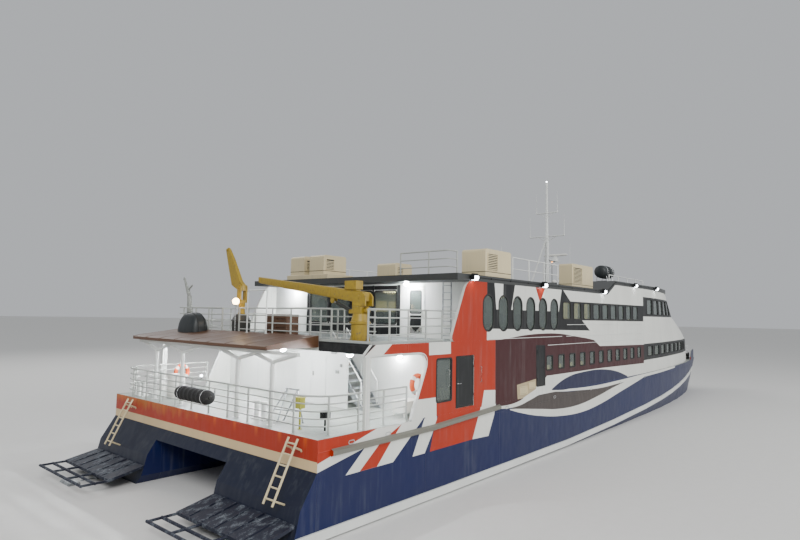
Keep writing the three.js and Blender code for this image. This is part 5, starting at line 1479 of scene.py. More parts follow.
# %% Drum and fender
bm = bmesh.new()
profile = [(0, 0.002), (0.31, 0.002), (0.33, 0.02)]
for i in range(4):
    z = 0.12 + 0.19 * i
    profile += [(0.33, z), (0.34, z + 0.02), (0.34, z + 0.06), (0.33, z + 0.08)]
profile += [(0.33, 0.84), (0.34, 0.85), (0.34, 0.92), (0.325, 0.94), (0.3, 0.945), (0.28, 0.93), (0.1, 0.93),
            (0, 0.93)]
turned(bm, profile, (1.15, 3.6, MAIN), sides=48)
disc(bm, (1.25, 3.1, MAIN), 0.05, 0.92, 0.95, sides=16)
piece("drum_moulding", bm, white_gel, replaces=["stern_drum"])

FENDER_X, FENDER_Z = -0.19, MAIN + 0.62
bm = bmesh.new()
profile = [(0, 0), (0.06, 0), (0.07, 0.02), (0.16, 0.03), (0.215, 0.07)]
for i in range(7):
    z = 0.2 + 0.27 * i
    profile += [(0.225, z - 0.07), (0.24, z - 0.035), (0.24, z + 0.035), (0.225, z + 0.07)]
profile += [(0.215, 1.98), (0.16, 2.02), (0.07, 2.03), (0.06, 2.05), (0, 2.05)]
turned(bm, profile, (FENDER_X, -1.15, FENDER_Z), ALONG_Y, 40)
piece("fender_roll", bm, black_rubber, replaces=["stern_fender"])
bm = bmesh.new()
for y in (-0.9, 0.6):
    block(bm, (FENDER_X, y - 0.05, MAIN + 0.65), (0.12, y + 0.05, MAIN + 0.69))
    ring_of(bm, (FENDER_X, y, FENDER_Z), ALONG_Y, 0.243, 0.012, 40, 8)
    post(bm, (0.12, y, MAIN + 0.67), 0.21, 0.03)
piece("fender_brackets", bm, stainless_steel, bevel=0.004)
print("drum and fender made")

# %% [markdown]
# ## Gear on the after deck
# Welded mooring posts, a hose box and a power box on short posts, a white bench locker by the
# side opening and a folded boarding frame of alloy tube stand on the after deck.

# %% Mooring posts, boxes, bench and boarding frame
MOORING_POST = [(0, 0.002), (0.11, 0.002), (0.1, 0.03), (0.085, 0.06), (0.085, 0.5), (0.12, 0.53),
                (0.12, 0.57), (0.1, 0.59), (0, 0.6)]
bm = bmesh.new()
for x, y in ((0.75, -2.6), (0.42, 5.0)):
    for d in (-0.19, 0.19):
        turned(bm, MOORING_POST, (x, y + d, MAIN))
    block(bm, (x - 0.14, y - 0.36, MAIN + 0.001), (x + 0.14, y + 0.36, MAIN + 0.03))
piece("mooring_posts", bm, bar_enamel, bevel=0.006)

bm = bmesh.new()
block(bm, (4.3, -5.75, MAIN + 0.14), (5.15, -5.2, MAIN + 0.5))
for x in (4.36, 5.09):
    for y in (-5.7, -5.25):
        block(bm, (x - 0.03, y - 0.03, MAIN + 0.002), (x + 0.03, y + 0.03, MAIN + 0.15))
block(bm, (4.27, -5.78, MAIN + 0.5), (5.18, -5.17, MAIN + 0.535))
piece("side_bench_locker", bm, white_gel, bevel=0.012)

bm = bmesh.new()
post(bm, (0.62, -4.75, MAIN), 0.95, 0.03)
bolted_foot(bm, (0.62, -4.75, MAIN))
block(bm, (0.52, -4.86, MAIN + 0.62), (0.72, -4.64, MAIN + 0.92))
block(bm, (0.51, -4.88, MAIN + 0.92), (0.73, -4.62, MAIN + 0.945))
piece("hose_box", bm, locker_green, bevel=0.012)
bm = bmesh.new()
post(bm, (1.0, -5.45, MAIN), 0.35, 0.03)
block(bm, (0.9, -5.58, MAIN + 0.35), (1.1, -5.32, MAIN + 0.58))
turned(bm, [(0, 0), (0.05, 0), (0.05, 0.04), (0, 0.05)], (0.9, -5.45, MAIN + 0.47), AFT, 16)
piece("shore_power_box", bm, black_enamel, bevel=0.01)

TRESTLE_TOP = MAIN + 0.98
bm = bmesh.new()
for x0, y0, x1, y1 in ((0.78, -2.95, 0.84, -3.4), (1.16, -3.3, 1.3, -4.1)):
    for x, y in ((x0, y0), (x1, y1)):
        tube(bm, [(x, y, MAIN + 0.002), (1.45, (y0 + y1) / 2 + 0.1, TRESTLE_TOP)], 0.024, 10)
        disc(bm, (x, y, MAIN + 0.002), 0.04, 0, 0.03, sides=12)
tube(bm, [(1.45, -3.0, TRESTLE_TOP), (1.45, -3.7, TRESTLE_TOP)], 0.024, 10)
tube(bm, [(1.0, -3.06, MAIN + 0.35), (1.25, -3.95, MAIN + 0.35)], 0.018, 10)
piece("boarding_trestle", bm, marine_alloy)
print("after deck fitted out")

# %% [markdown]
# ## Trim of the side opening and the stair
# The opening beside the stair has a rolled white edge, which a tube with eased corners follows.
# The stair keeps its plates and gets ribbed alloy nosings, so that feet find the steps when they
# are wet, and bent handrails. The wall beside it has a locker door and small switch boxes.

# %% Opening trims
OPENING_TOP = 2.2
bm = bmesh.new()
for s in (1, -1):
    knee = eased([(4.05, 0.02), (4.2, 0.34), (4.3, 0.559)], 0.12, 5)
    corner = eased([(4.3, 0.559), (5.05, OPENING_TOP), (1.78, OPENING_TOP)], 0.7, 14)
    tube(bm, [(p.x, s * (SIDE_Y - 0.06), MAIN + p.y) for p in knee[:-1] + corner], 0.065, 12)
    post(bm, (1.95, s * 6.21, MAIN + 0.002), OPENING_TOP - 0.002, 0.068, 18)
    bolted_foot(bm, (1.95, s * 6.17, MAIN), 0.1)
piece("opening_trims", bm, bar_enamel)
print("opening trimmed")

# %% [markdown]
# ## Fittings of the stair
# A point on the stair is found from its share of the way up, so rails and nosings keep to the
# slope of the steps, whatever their number.

# %% Stair rails, nosings and wall fittings
STAIR = {"x0": 4.3, "x1": 5.2, "foot": -3.75, "head": -1.75, "rise": UPPER - 0.33 - MAIN - 0.02, "steps": 9}
RAIL_RISE = 0.98


def on_stair(t):
    """y and z of the stair's slope, from 0 at the foot to 1 at the head."""
    return STAIR["foot"] + (STAIR["head"] - STAIR["foot"]) * t, MAIN + STAIR["rise"] * t


bm = bmesh.new()
(low_y, low_z), (middle_y, middle_z), (high_y, high_z) = (on_stair(t) for t in (0.05, 0.45, 0.88))
for x in (STAIR["x0"] + 0.03, STAIR["x1"] - 0.03):
    line = [(low_y - 0.02, low_z), (low_y - 0.02, low_z + 0.86), (low_y + 0.06, low_z + RAIL_RISE),
            (high_y, high_z + RAIL_RISE), (high_y, high_z + 0.1)]
    tube(bm, [(x, y, z) for y, z in line], 0.03, 12)
    post(bm, (x, middle_y, middle_z), RAIL_RISE, 0.02, 10)
piece("stair_handrails", bm, bar_enamel)
bm = bmesh.new()
for i in range(1, STAIR["steps"]):
    y, z = on_stair(i / STAIR["steps"])
    for k in range(5):
        rib = y - 0.09 + 0.045 * k
        block(bm, (STAIR["x0"] + 0.06, rib - 0.008, z + 0.02), (STAIR["x1"] - 0.06, rib + 0.008, z + 0.026))
    block(bm, (STAIR["x0"] + 0.055, y - 0.112, z - 0.03), (STAIR["x1"] - 0.055, y - 0.085, z + 0.028))
piece("stair_nosings", bm, marine_alloy, bevel=0.002)

wall_x = STAIR["x0"] - 0.1
LOCKER_Y = (-1.9, -1.05)
bm = bmesh.new()
for y in LOCKER_Y:
    block(bm, (wall_x - 0.012, y - 0.02, MAIN + 0.06), (wall_x + 0.001, y + 0.02, MAIN + 2.12))
for z in (0.07, 2.1):
    block(bm, (wall_x - 0.012, LOCKER_Y[0], MAIN + z - 0.02), (wall_x + 0.001, LOCKER_Y[1], MAIN + z + 0.02))
for z in (0.4, 1.7):
    tube(bm, [(wall_x - 0.02, LOCKER_Y[0], MAIN + z + d) for d in (-0.07, 0.07)], 0.016, 12)
post(bm, (wall_x + 0.03, -3.05, MAIN + 0.01), 2.18, 0.032, 14)
piece("stair_wall_locker_door", bm, bar_enamel, bevel=0.004)
bm = bmesh.new()
# Columns: y and height of the middle, width, height.
for y, z, wide, high in ((-2.35, 2.0, 0.28, 0.1), (-2.75, 1.55, 0.1, 0.12), (-2.55, 1.3, 0.16, 0.12),
                         (-1.2, 1.15, 0.05, 0.16)):
    block(bm, (wall_x - 0.045, y - wide / 2, MAIN + z - high / 2),
          (wall_x + 0.001, y + wide / 2, MAIN + z + high / 2))
piece("stair_wall_switch_boxes", bm, grey_enamel, bevel=0.01)
print("stair fitted out")

# %% [markdown]
# ## Doors
# The bulkhead doors have a pressed surround, a port with a rubber gasket, a lever handle and a
# kick plate. What belongs to the leaf rides on the leaf's own body and swings with it, and the
# surround stays on the ship, a little clear of the leaf's edge so that nothing clips.

# %% Bulkhead doors
ROSE = [(0, 0), (0.028, 0), (0.028, 0.008), (0.012, 0.014), (0.012, 0.05), (0, 0.05)]


def lever(bm, place, out, way, long=0.13):
    """A lever handle on a round rose."""
    out, way = Vector(out), Vector(way)
    turned(bm, ROSE, place, out, 16)
    start = Vector(place) + out * 0.045
    tube(bm, [start, start + way * long], 0.011, 10)


# Columns: name, deck, y of the middle, x of the face, height of the port's middle, its size.
LEAVES = [("main_aft_door", MAIN, 0.6, MAIN_WALL_X, 1.62, (0.5, 0.62)),
          ("upper_aft_door", UPPER, -3.27, UPPER_WALL_X, 1.48, (0.6, 0.95))]
for name, deck, y, x, up, (wide, high) in LEAVES:
    surround, pane, rubber, leaf = (bmesh.new() for _ in range(4))
    edging(surround, (y + 0.02, deck + 0.12 + 0.975), (0.85, 1.96, 0.03), (1.02, 2.13, 0.06),
           x - 0.02, x + 0.001, "x")
    piece(f"{name}_surround", surround, bar_enamel, bevel=0.006)
    plate(pane, rounded(y, deck + up, wide, high, 0.08, 5), x - 0.004, x + 0.002, "x")
    edging(rubber, (y, deck + up), (wide - 0.05, high - 0.05, 0.06), (wide + 0.03, high + 0.03, 0.09),
           x - 0.01, x + 0.002, "x", 5)
    piece(f"{name}_port_glass", pane, window_glass, name)
    piece(f"{name}_port_rubber", rubber, gasket_rubber, name)
    lever(leaf, (x - 0.001, y - 0.31, deck + 1.08), AFT, ALONG_Y)
    block(leaf, (x - 0.006, y - 0.34, deck + 0.17), (x + 0.001, y + 0.3, deck + 0.42))
    piece(f"{name}_fittings", leaf, stainless_steel, name, 0.002)
print("bulkhead doors fitted:", len(LEAVES))

# %% [markdown]
# ## Dark panels and the side doors
# Black panels between the after saloon's panes make them look like one long window. The doors in
# the ship's sides open outwards, with a rubber seal round the leaf and hinges on its fore edge.

# %% Saloon panels and shell doors
bm = bmesh.new()
face = UPPER_WALL_X + 0.001
for y in SALOON_PANES_Y:
    for low, high in ((0.06, 0.48), (2.02, 2.2)):
        block(bm, (face - 0.012, y - 0.67, UPPER + low), (face, y + 0.67, UPPER + high))
for y, half in ((-2.33, 0.085), (-0.825, 0.045), (0.625, 0.045), (2.075, 0.045), (3.58, 0.085)):
    block(bm, (face - 0.022, y - half, UPPER + 0.04), (face, y + half, UPPER + 2.22))
piece("saloon_front_panels", bm, black_enamel, bevel=0.004)
bm = bmesh.new()
# A black plate with a pointed lower end covers the lower half of the upper door's leaf.
POINTED_PANEL = [(-0.3, 0.92), (0.3, 0.92), (0.3, 0.5), (0, 0.24), (-0.3, 0.5)]
plate(bm, POINTED_PANEL, UPPER_WALL_X - 0.008, UPPER_WALL_X + 0.001, "x", (-3.27, UPPER))
piece("upper_door_pointed_panel", bm, black_enamel, "upper_aft_door", 0.002)


def hinge(bm, x, y, z, half, radius):
    """A hinge knuckle: a short upright pin on the main deck's side."""
    post(bm, (x, y, MAIN + z - half), 2 * half, radius)


for side, s in SIDES.items():
    bm, seal = bmesh.new(), bmesh.new()
    face = s * (SIDE_Y + 0.0005)
    edging(seal, (7.13, MAIN + 1.06), (1.0, 1.66, 0.06), (1.08, 1.74, 0.09), face, face + s * 0.006)
    lever(bm, (6.68, face, MAIN + 1.0), (0, s, 0), ALONG_X, 0.16)
    for z in (0.4, 1.7):
        hinge(bm, 7.68, s * (SIDE_Y - 0.004), z, 0.09, 0.015)
    piece(f"shell_door_{side}_fittings", bm, stainless_steel, f"shell_door_{side}", 0.002)
    piece(f"shell_door_{side}_seal", seal, gasket_rubber, f"shell_door_{side}", 0.002)
print("doors fitted")

# %% [markdown]
# ## Awning
# The brown awning over the after deck is built from painted plates on battens, and the plates
# have sunk a little between them. Its skin is drawn as rings across the ship, so that the sag of
# each bay is one sine in a loop.

# %% Awning
AWNING = {"aft": 0.15, "fore": 2.299, "starboard": -3.6, "port": 5.4, "aft_z": 2.44, "fore_z": 2.72}
BAY = 1.125
SAG = 0.022
aft_x, fore_x, end_y = AWNING["aft"], AWNING["fore"], AWNING["starboard"]


def awning_top(x):
    """Height of the awning's upper face."""
    return MAIN + AWNING["aft_z"] + (AWNING["fore_z"] - AWNING["aft_z"]) * (x - aft_x) / (fore_x - aft_x)


bm = bmesh.new()
rings = []
for i in range(65):
    y = end_y + (AWNING["port"] - end_y) * i / 64
    sag = SAG * math.sin(math.pi * (y - end_y) / BAY) ** 2
    top, under = [], []
    for k in range(13):
        x = aft_x + (fore_x - aft_x) * k / 12
        lip = 0.03 * max(0, 1 - k / 2) ** 2
        top.append(Vector((x, y, awning_top(x) - 0.004 - sag * math.sin(math.pi * k / 12) - lip)))
        under.append(Vector((x, y, MAIN + 2.3 + 0.02 * k / 12)))
    rings.append(top + under[::-1])
skin(bm, rings)
BATTEN = [(aft_x + 0.01, awning_top(aft_x) - 0.04), (fore_x, awning_top(fore_x) - 0.01),
          (fore_x, awning_top(fore_x)), (aft_x + 0.2, awning_top(0.35) + 0.001),
          (aft_x + 0.01, awning_top(aft_x) - 0.015)]
for i in range(9):
    y = end_y + 0.02 + BAY * i
    plate(bm, BATTEN, y - 0.03, y + 0.03)
tube(bm, [(aft_x + 0.02, y, MAIN + 2.33) for y in (end_y, AWNING["port"])], 0.03, 12)
piece("awning_plates", bm, brown_enamel, bevel=0.006, replaces=["aft_canopy"])
print("awning bays:", round((AWNING["port"] - end_y) / BAY))

# %% [markdown]
# ## Raft cover and pipe frame
# A raft lies on the awning under a smooth moulded dome with two straps, beside a white pipe
# frame. The dome is a skin over arches whose height follows a flattened curve, which gives it
# the blunt ends of a moulding.

# %% Raft cover and pipe frame
COVER = {"x": 1.825, "reach": 0.375, "y": 3.72, "half": 0.72, "top": MAIN + 3.42}
ARCH_POINTS = 28
ARCHES = 18


def dome_arch(t, least=0.0, grow=0.0):
    """Half a rounded arch across the cover, from -1 at its after end to 1 at its fore end."""
    x = COVER["x"] + COVER["reach"] * t
    share = max(least, (1 - abs(t) ** 3.2) ** 0.42)
    foot_z = awning_top(x) - 0.02
    high = (COVER["top"] - foot_z) * share + grow
    wide = COVER["half"] * (0.55 + 0.45 * share) + grow
    turns = [math.pi * k / (ARCH_POINTS - 1) for k in range(ARCH_POINTS)]
    return [Vector((x, COVER["y"] + wide * math.copysign(abs(math.cos(a)) ** 0.8, math.cos(a)),
                    foot_z + high * math.sin(a) ** 0.75)) for a in turns]


bm, straps = bmesh.new(), bmesh.new()
skin(bm, [dome_arch(-1 + 2 * i / ARCHES, 0.12) for i in range(ARCHES + 1)])
piece("raft_dome", bm, dark_gel, replaces=["raft_cover"])
for x in (1.68, 1.97):
    tube(straps, dome_arch((x - COVER["x"]) / COVER["reach"], grow=0.004), 0.012, 8)
piece("raft_straps", straps, gasket_rubber)

HOOP_X, HOOP_Y = 2.15, (-0.85, 0.35)
hoop_z = awning_top(HOOP_X)
hoop = eased([(HOOP_Y[0], hoop_z), (HOOP_Y[0], MAIN + 4.3), (HOOP_Y[1], MAIN + 4.3), (HOOP_Y[1], hoop_z)],
             0.12)
bm = bmesh.new()
tube(bm, [(HOOP_X, p.x, p.y) for p in hoop], 0.026, 14)
tube(bm, [(HOOP_X, y, MAIN + 3.42) for y in HOOP_Y], 0.02, 12)
for y in HOOP_Y:
    bolted_foot(bm, (HOOP_X, y, hoop_z - 0.012), 0.06)
piece("pipe_frame", bm, bar_enamel, replaces=["deck_frame"])
print("raft cover and frame made")

# %% [markdown]
# ## Deck bench
# The bench behind is a crate of brown painted slats round a solid core, five boards high, with
# gaps that drain the rain.

# %% Slatted bench
SEAT_Z = UPPER + 0.84
bm = bmesh.new()
for x in (2.9, 3.44):
    for y in (-1.05, -0.455, 0.14):
        block(bm, (x, y, UPPER + 0.001), (x + 0.06, y + 0.06, SEAT_Z))
for i in range(5):
    z = UPPER + 0.06 + 0.165 * i
    for x in (2.895, 3.475):
        block(bm, (x, -1.05, z), (x + 0.03, 0.2, z + 0.115))
    for y in (-1.052, 0.17):
        block(bm, (2.93, y, z), (3.47, y + 0.03, z + 0.115))
    x = 2.89 + 0.124 * i
    block(bm, (x, -1.06, SEAT_Z), (x + 0.112, 0.21, SEAT_Z + 0.035))
block(bm, (2.935, -1.015, UPPER + 0.03), (3.465, 0.165, UPPER + 0.82))
piece("slatted_bench", bm, brown_enamel, bevel=0.006, replaces=["deck_bench"])
print("bench made")

# %% [markdown]
# ## Roof units
# The cream boxes house fans and air coolers. They are folded sheet with rounded top edges,
# louvres on the sides, a lapped lid and screws along its edge. Two helpers draw the sheet box
# and its louvres, and a table says where each unit stands.

# %% Casings with louvres
def casing(bm, x0, x1, y0, y1, z0, z1, corner):
    """A sheet box whose upper fore and aft edges are rounded."""
    section = [(x0, z0), (x1, z0)]
    for turn, x in enumerate((x1 - corner, x0 + corner)):
        for i in range(9):
            a = math.pi / 2 * (turn + i / 8)
            section.append((x + corner * math.cos(a), z1 - corner + corner * math.sin(a)))
    plate(bm, section, y0, y1)


def louvres(bm, x0, x1, face, out, z0, z1, pitch=0.07):
    """Slanted blades in a frame on a wall at y = face. out is 1 or -1."""
    wide, high = x1 - x0, z1 - z0
    edging(bm, ((x0 + x1) / 2, (z0 + z1) / 2), (wide - 0.05, high - 0.05, 0.01), (wide, high, 0.02),
           face, face + out * 0.025, steps=2)
    blade = [(0, 0.045), (0, 0.05), (out * 0.024, 0.012), (out * 0.024, 0.006)]
    for i in range(int((high - 0.06) / pitch)):
        plate(bm, blade, x0 + 0.02, x1 - 0.02, "x", (face, z0 + 0.04 + pitch * i))


SCREW = [(0, 0), (0.012, 0), (0.0096, 0.008), (0, 0.008)]
FAN_PLATE = [(0, 0), (0.26, 0), (0.26, 0.02), (0.2, 0.03), (0, 0.03)]
# Columns: name, replaced node, plinth or none, boxes as x0, x1, y0, y1, height.
ROOF_UNITS = [
    ("starboard_air_cooler", "roof_unit_starboard", None, [(8.8, 10.85, -6.1, -4.95, 1.14)]),
    ("middle_fan_box", "roof_unit_middle", None, [(9.0, 10.2, -1.15, 0.0, 0.8)]),
    ("fore_air_cooler", "roof_unit_fore", None, [(18.2, 21.0, -5.6, -4.85, 1.3)]),
    ("port_air_coolers", "roof_unit_port", (7.6, 9.3, 1.9, 4.95, 0.3),
     [(7.7, 9.2, 2.3, 3.35, 1.25), (7.7, 9.2, 3.75, 4.8, 1.25)]),
]
for name, node, plinth, boxes in ROOF_UNITS:
    bm, trim, dark = bmesh.new(), bmesh.new(), bmesh.new()
    foot = ROOF_AFT + 0.001
    if plinth:
        x0, x1, y0, y1, high = plinth
        block(bm, (x0, y0, foot), (x1, y1, ROOF_AFT + high))
        foot = ROOF_AFT + high - 0.02
    for x0, x1, y0, y1, high in boxes:
        top = ROOF_AFT + high
        vent_end = x0 + (x1 - x0) * 0.45
        casing(bm, x0, x1, y0, y1, foot, top, 0.12)
        # A seam low round each box, drawn as a dark band: the dark is painted shade in the seam's slit.
        block(dark, (x0 - 0.003, y0 - 0.003, foot + 0.19), (x1 + 0.003, y1 + 0.003, foot + 0.215))
        for out, face in ((-1, y0), (1, y1)):
            louvres(trim, x0 + 0.15, vent_end, face, out, foot + 0.26, top - 0.18)
            # Painted shade: a dark panel behind the louvres stands in for the shade inside the vent.
            block(dark, (x0 + 0.18, face - out * 0.002, foot + 0.29),
                  (vent_end - 0.03, face + out * 0.003, top - 0.21))
            for i in range(9):
                turned(trim, SCREW, (x0 + 0.08 + (x1 - x0 - 0.16) * i / 8, face, top - 0.1), (0, out, 0), 8)
        fan_x, fan_y = (x0 + x1) / 2, (y0 + y1) / 2
        turned(trim, FAN_PLATE, (fan_x, fan_y, top - 0.012), sides=32)
        for k in range(4):
            ring_of(trim, (fan_x, fan_y, top + 0.022), UP, 0.05 + 0.05 * k, 0.005, 28, 6)
    piece(name, bm, cream_enamel, bevel=0.02, replaces=[node])
    piece(f"{name}_louvres", trim, cream_enamel)
    piece(f"{name}_seam_and_vent_shade", dark, gasket_rubber)
print("roof units dressed:", len(ROOF_UNITS))

# %% [markdown]
# ## Mast and radar
# The mast is a round alloy pole on two raked legs, with rungs up its after side, two cross arms
# for lights and whip aerials, and a bracket for the radar, whose scanner is a moulded bar. The
# bar is a skin over ellipses that shrink fast at its ends, which rounds them like a moulding.

# %% Mast and scanner
MAST_X = 26.7
RADAR_X, RADAR_Z, RADAR_HALF = 28.05, ROOF_FORE + 2.3, 0.95
bm = bmesh.new()
turned(bm, [(0, 0.002), (0.22, 0.002), (0.22, 0.03), (0.15, 0.04), (0.145, 3.5), (0.1, 3.65), (0.085, 5.3),
            (0.06, 7.45), (0, 7.46)], (MAST_X, 0, ROOF_FORE), sides=28)
for s in (1, -1):
    foot = (MAST_X - 1.3, s * 0.6, ROOF_FORE)
    tube(bm, [foot, (MAST_X, s * 0.05, ROOF_FORE + 3.4)], 0.055, 16)
    bolted_foot(bm, foot, 0.12, 6)
for up, half in ((3.55, 1.3), (5.24, 0.8)):
    z = ROOF_FORE + up
    tube(bm, [(MAST_X, -half, z), (MAST_X, half, z)], 0.04, 14)
    for s in (1, -1):
        tube(bm, [(MAST_X, s * 0.08, z - 0.35), (MAST_X, s * half * 0.6, z)], 0.02, 10)
        turned(bm, [(0, 0), (0.05, 0), (0.05, 0.08), (0.02, 0.1), (0.012, 0.9), (0.006, 1.5), (0, 1.5)],
               (MAST_X, s * half, z), sides=12)
for i in range(11):
    z = ROOF_FORE + 0.4 + 0.3 * i
    rung = [(0.13, -0.16), (0.24, -0.14), (0.24, 0.14), (0.13, 0.16)]
    tube(bm, [(MAST_X - aft, y, z) for aft, y in rung], 0.012, 8)
block(bm, (MAST_X, -0.2, RADAR_Z - 0.45), (RADAR_X + 0.25, 0.2, RADAR_Z - 0.38))
for s in (1, -1):
    tube(bm, [(MAST_X + 0.1, s * 0.1, RADAR_Z - 1.1), (RADAR_X - 0.1, s * 0.15, RADAR_Z - 0.42)], 0.025, 10)
turned(bm, [(0, 0), (0.2, 0), (0.21, 0.05), (0.17, 0.25), (0.12, 0.299), (0, 0.299)],
       (RADAR_X, 0, RADAR_Z - 0.4), sides=32)
piece("mast_tubes", bm, bar_enamel, replaces=["mast"])

bm = bmesh.new()
rings = []
for k in range(25):
    t = -1 + k / 12
    share = (1 - abs(t) ** 8) ** 0.5 if abs(t) < 1 else 0.02
    rings.append([Vector((RADAR_X + 0.075 * share * math.cos(a), RADAR_HALF * t,
                          RADAR_Z + 0.03 + 0.085 * share * math.sin(a)))
                  for a in (2 * math.pi * i / 20 for i in range(20))])
skin(bm, rings)
turned(bm, [(0, -0.1), (0.09, -0.1), (0.09, -0.05), (0.06, -0.03), (0, -0.03)], (RADAR_X, 0, RADAR_Z))
piece("radar_bar", bm, white_gel, "radar_scanner", replaces=["radar_scanner"])
print("mast made, radar bar:", 2 * RADAR_HALF, "m long")

# %% [markdown]
# ## Aerials, horns and search light
# Domes on short feet cover satellite aerials, and whips stand along the edges of the roofs. Two
# trumpet horns and a search light on a foot look ahead over the wheelhouse. All are turned forms,
# so each is one profile and a table of places.

# %% Roof aerials
bm, domes = bmesh.new(), bmesh.new()
for x, y, r in ((24.3, 2.1, 0.36), (24.3, -2.3, 0.3), (31.2, 1.6, 0.22)):
    place = (x, y, ROOF_FORE)
    turned(bm, [(0, 0), (0.14, 0), (0.08, 0.02), (0.07, 0.28), (0.12, 0.32), (0, 0.32)], place, sides=20)
    cap = [(r * math.cos(a), 0.55 + r * math.sin(a)) for a in (math.pi / 18 * i for i in range(10))]
    turned(domes, [(0, 0.3), (r * 0.8, 0.3), (r, 0.36)] + cap, place, sides=32)
# Columns: x, y, height.
WHIPS = [(22.9, 3.4, 2.2), (22.9, -3.4, 2.4), (29.6, 3.0, 1.8), (29.6, -3.0, 1.9), (12.6, -4.6, 1.7)]
for x, y, high in WHIPS:
    turned(bm, [(0, 0), (0.06, 0), (0.06, 0.04), (0.03, 0.06), (0.025, 0.3), (0.012, 0.34), (0.006, high),
                (0, high)], (x, y, ROOF_FORE if x > STEP_FORE else ROOF_AFT), sides=10)
for s in (1, -1):
    post(bm, (33.6, s * 0.8, ROOF_FORE), 0.3, 0.02, 10)
    turned(bm, [(0, 0), (0.04, 0), (0.05, 0.1), (0.06, 0.3), (0.11, 0.5), (0.1, 0.5), (0.05, 0.3), (0, 0.3)],
           (33.4, s * 0.8, ROOF_FORE + 0.34), ALONG_X, 20)
turned(bm, [(0, 0), (0.1, 0), (0.1, 0.03), (0.03, 0.05), (0.03, 0.25), (0, 0.25)],
       (36.0, 0, ROOF_FORE), sides=20)
turned(bm, [(0, 0), (0.12, 0.02), (0.16, 0.1), (0.16, 0.26), (0.15, 0.26), (0, 0.22)],
       (35.86, 0, ROOF_FORE + 0.4), ALONG_X, 28)
piece("roof_aerials", bm, bar_enamel)
piece("antenna_domes", domes, white_gel)
print("whip aerials:", len(WHIPS))

# %% [markdown]
# ## Fittings on the roofs
# Low rails stand along both roofs. A raft lies in a drum-like canister on a cradle of round bar on
# each side, and hatches with hinges and mushroom vents serve the saloons below.

# %% Roof rails, hatches and vents
bm = bmesh.new()
for s in (1, -1):
    guard_rail(bm, [(11.4, s * 5.85), (15.9, s * 5.85)], ROOF_AFT, [0.5, 1.0], 1.5)
for s in (1, -1):
    guard_rail(bm, [(23.2, s * 5.7), (29.8, s * 5.55)], ROOF_FORE, [0.4], 1.6)
piece("roof_side_rails", bm, bar_enamel)

CANISTER = [(0, -0.8), (0.3, -0.8), (0.38, -0.74), (0.4, -0.66), (0.4, -0.03), (0.43, -0.03)]
bm, cradle = bmesh.new(), bmesh.new()
for y in (4.4, -4.4):
    turned(bm, CANISTER + [(r, -x) for r, x in reversed(CANISTER)], (25.9, y, ROOF_FORE + 0.78), ALONG_X, 40)
    for x in (25.45, 26.35):
        ring_of(cradle, (x, y, ROOF_FORE + 0.78), ALONG_X, 0.41, 0.014, 40, 8)
        for d in (-0.3, 0.3):
            tube(cradle, [(x, y + 1.3 * d, ROOF_FORE + 0.002), (x, y + d, ROOF_FORE + 0.5)], 0.025, 10)
        tube(cradle, [(x, y - 0.36, ROOF_FORE + 0.2), (x, y + 0.36, ROOF_FORE + 0.2)], 0.02, 10)
piece("raft_canisters", bm, dark_gel)
piece("raft_canister_cradles", cradle, stainless_steel)

# Columns: x, y, deck, half width.
HATCHES = [(12.6, 1.6, ROOF_AFT, 0.4), (18.2, 2.4, ROOF_AFT, 0.4), (25.2, 3.4, ROOF_FORE, 0.35),
           (31.8, -2.4, ROOF_FORE, 0.35)]
# Columns: x, y, deck.
VENTS = [(14.2, -2.6, ROOF_AFT), (14.2, 3.6, ROOF_AFT), (20.0, 0.4, ROOF_AFT), (20.2, 4.4, ROOF_AFT),
         (28.6, -4.2, ROOF_FORE), (33.0, 2.6, ROOF_FORE)]
VENT = [(0, 0), (0.12, 0), (0.12, 0.24), (0.21, 0.25), (0.22, 0.3), (0.16, 0.38), (0.05, 0.41), (0, 0.41)]
bm = bmesh.new()
for x, y, deck, half in HATCHES:
    lid = half + 0.03
    block(bm, (x - half, y - half, deck + 0.001), (x + half, y + half, deck + 0.14))
    block(bm, (x - lid, y - lid, deck + 0.14), (x + lid, y + lid, deck + 0.19))
    for dy in (-0.2, 0.2):
        tube(bm, [(x - half - 0.05, y + dy + d, deck + 0.17) for d in (-0.08, 0.08)], 0.02, 10)
for place in VENTS:
    turned(bm, VENT, place, sides=28)
piece("roof_hatches_and_vents", bm, bar_enamel, bevel=0.008)
print("hatches and vents:", len(HATCHES) + len(VENTS))

# %% [markdown]
# ## Jet guards
# A guard keeps ropes and boats away from each jet. It is a plate that falls away aft, ribbed on
# top, with an open frame of round pipe behind it. Spray has bleached it and left lime on it, and
# two noises multiplied together give patches that break up into drops.

# %% Jet guards
def sprayed_paint(name, colour):
    """Dark paint that spray has bleached in patches."""
    material, add, place = start_material(name, Metallic=0.0, Roughness=0.75)
    lime = stretched_noise(add, place, (0.35, 0.2, 0.35), 8.0, 0.7)
    drops = add("MapRange", stretched_noise(add, place, 0.03, 2.0), 0.3, 0.6)
    share = add("Math", add("MapRange", lime, 0.5, 0.7), drops, operation="MULTIPLY")
    return coated(material, layered(add, colour, (share, "#8d959c")),
                  add("MapRange", lime, 0.4, 0.7, 0.6, 0.9), add("Math", lime, 0.004, operation="MULTIPLY"))


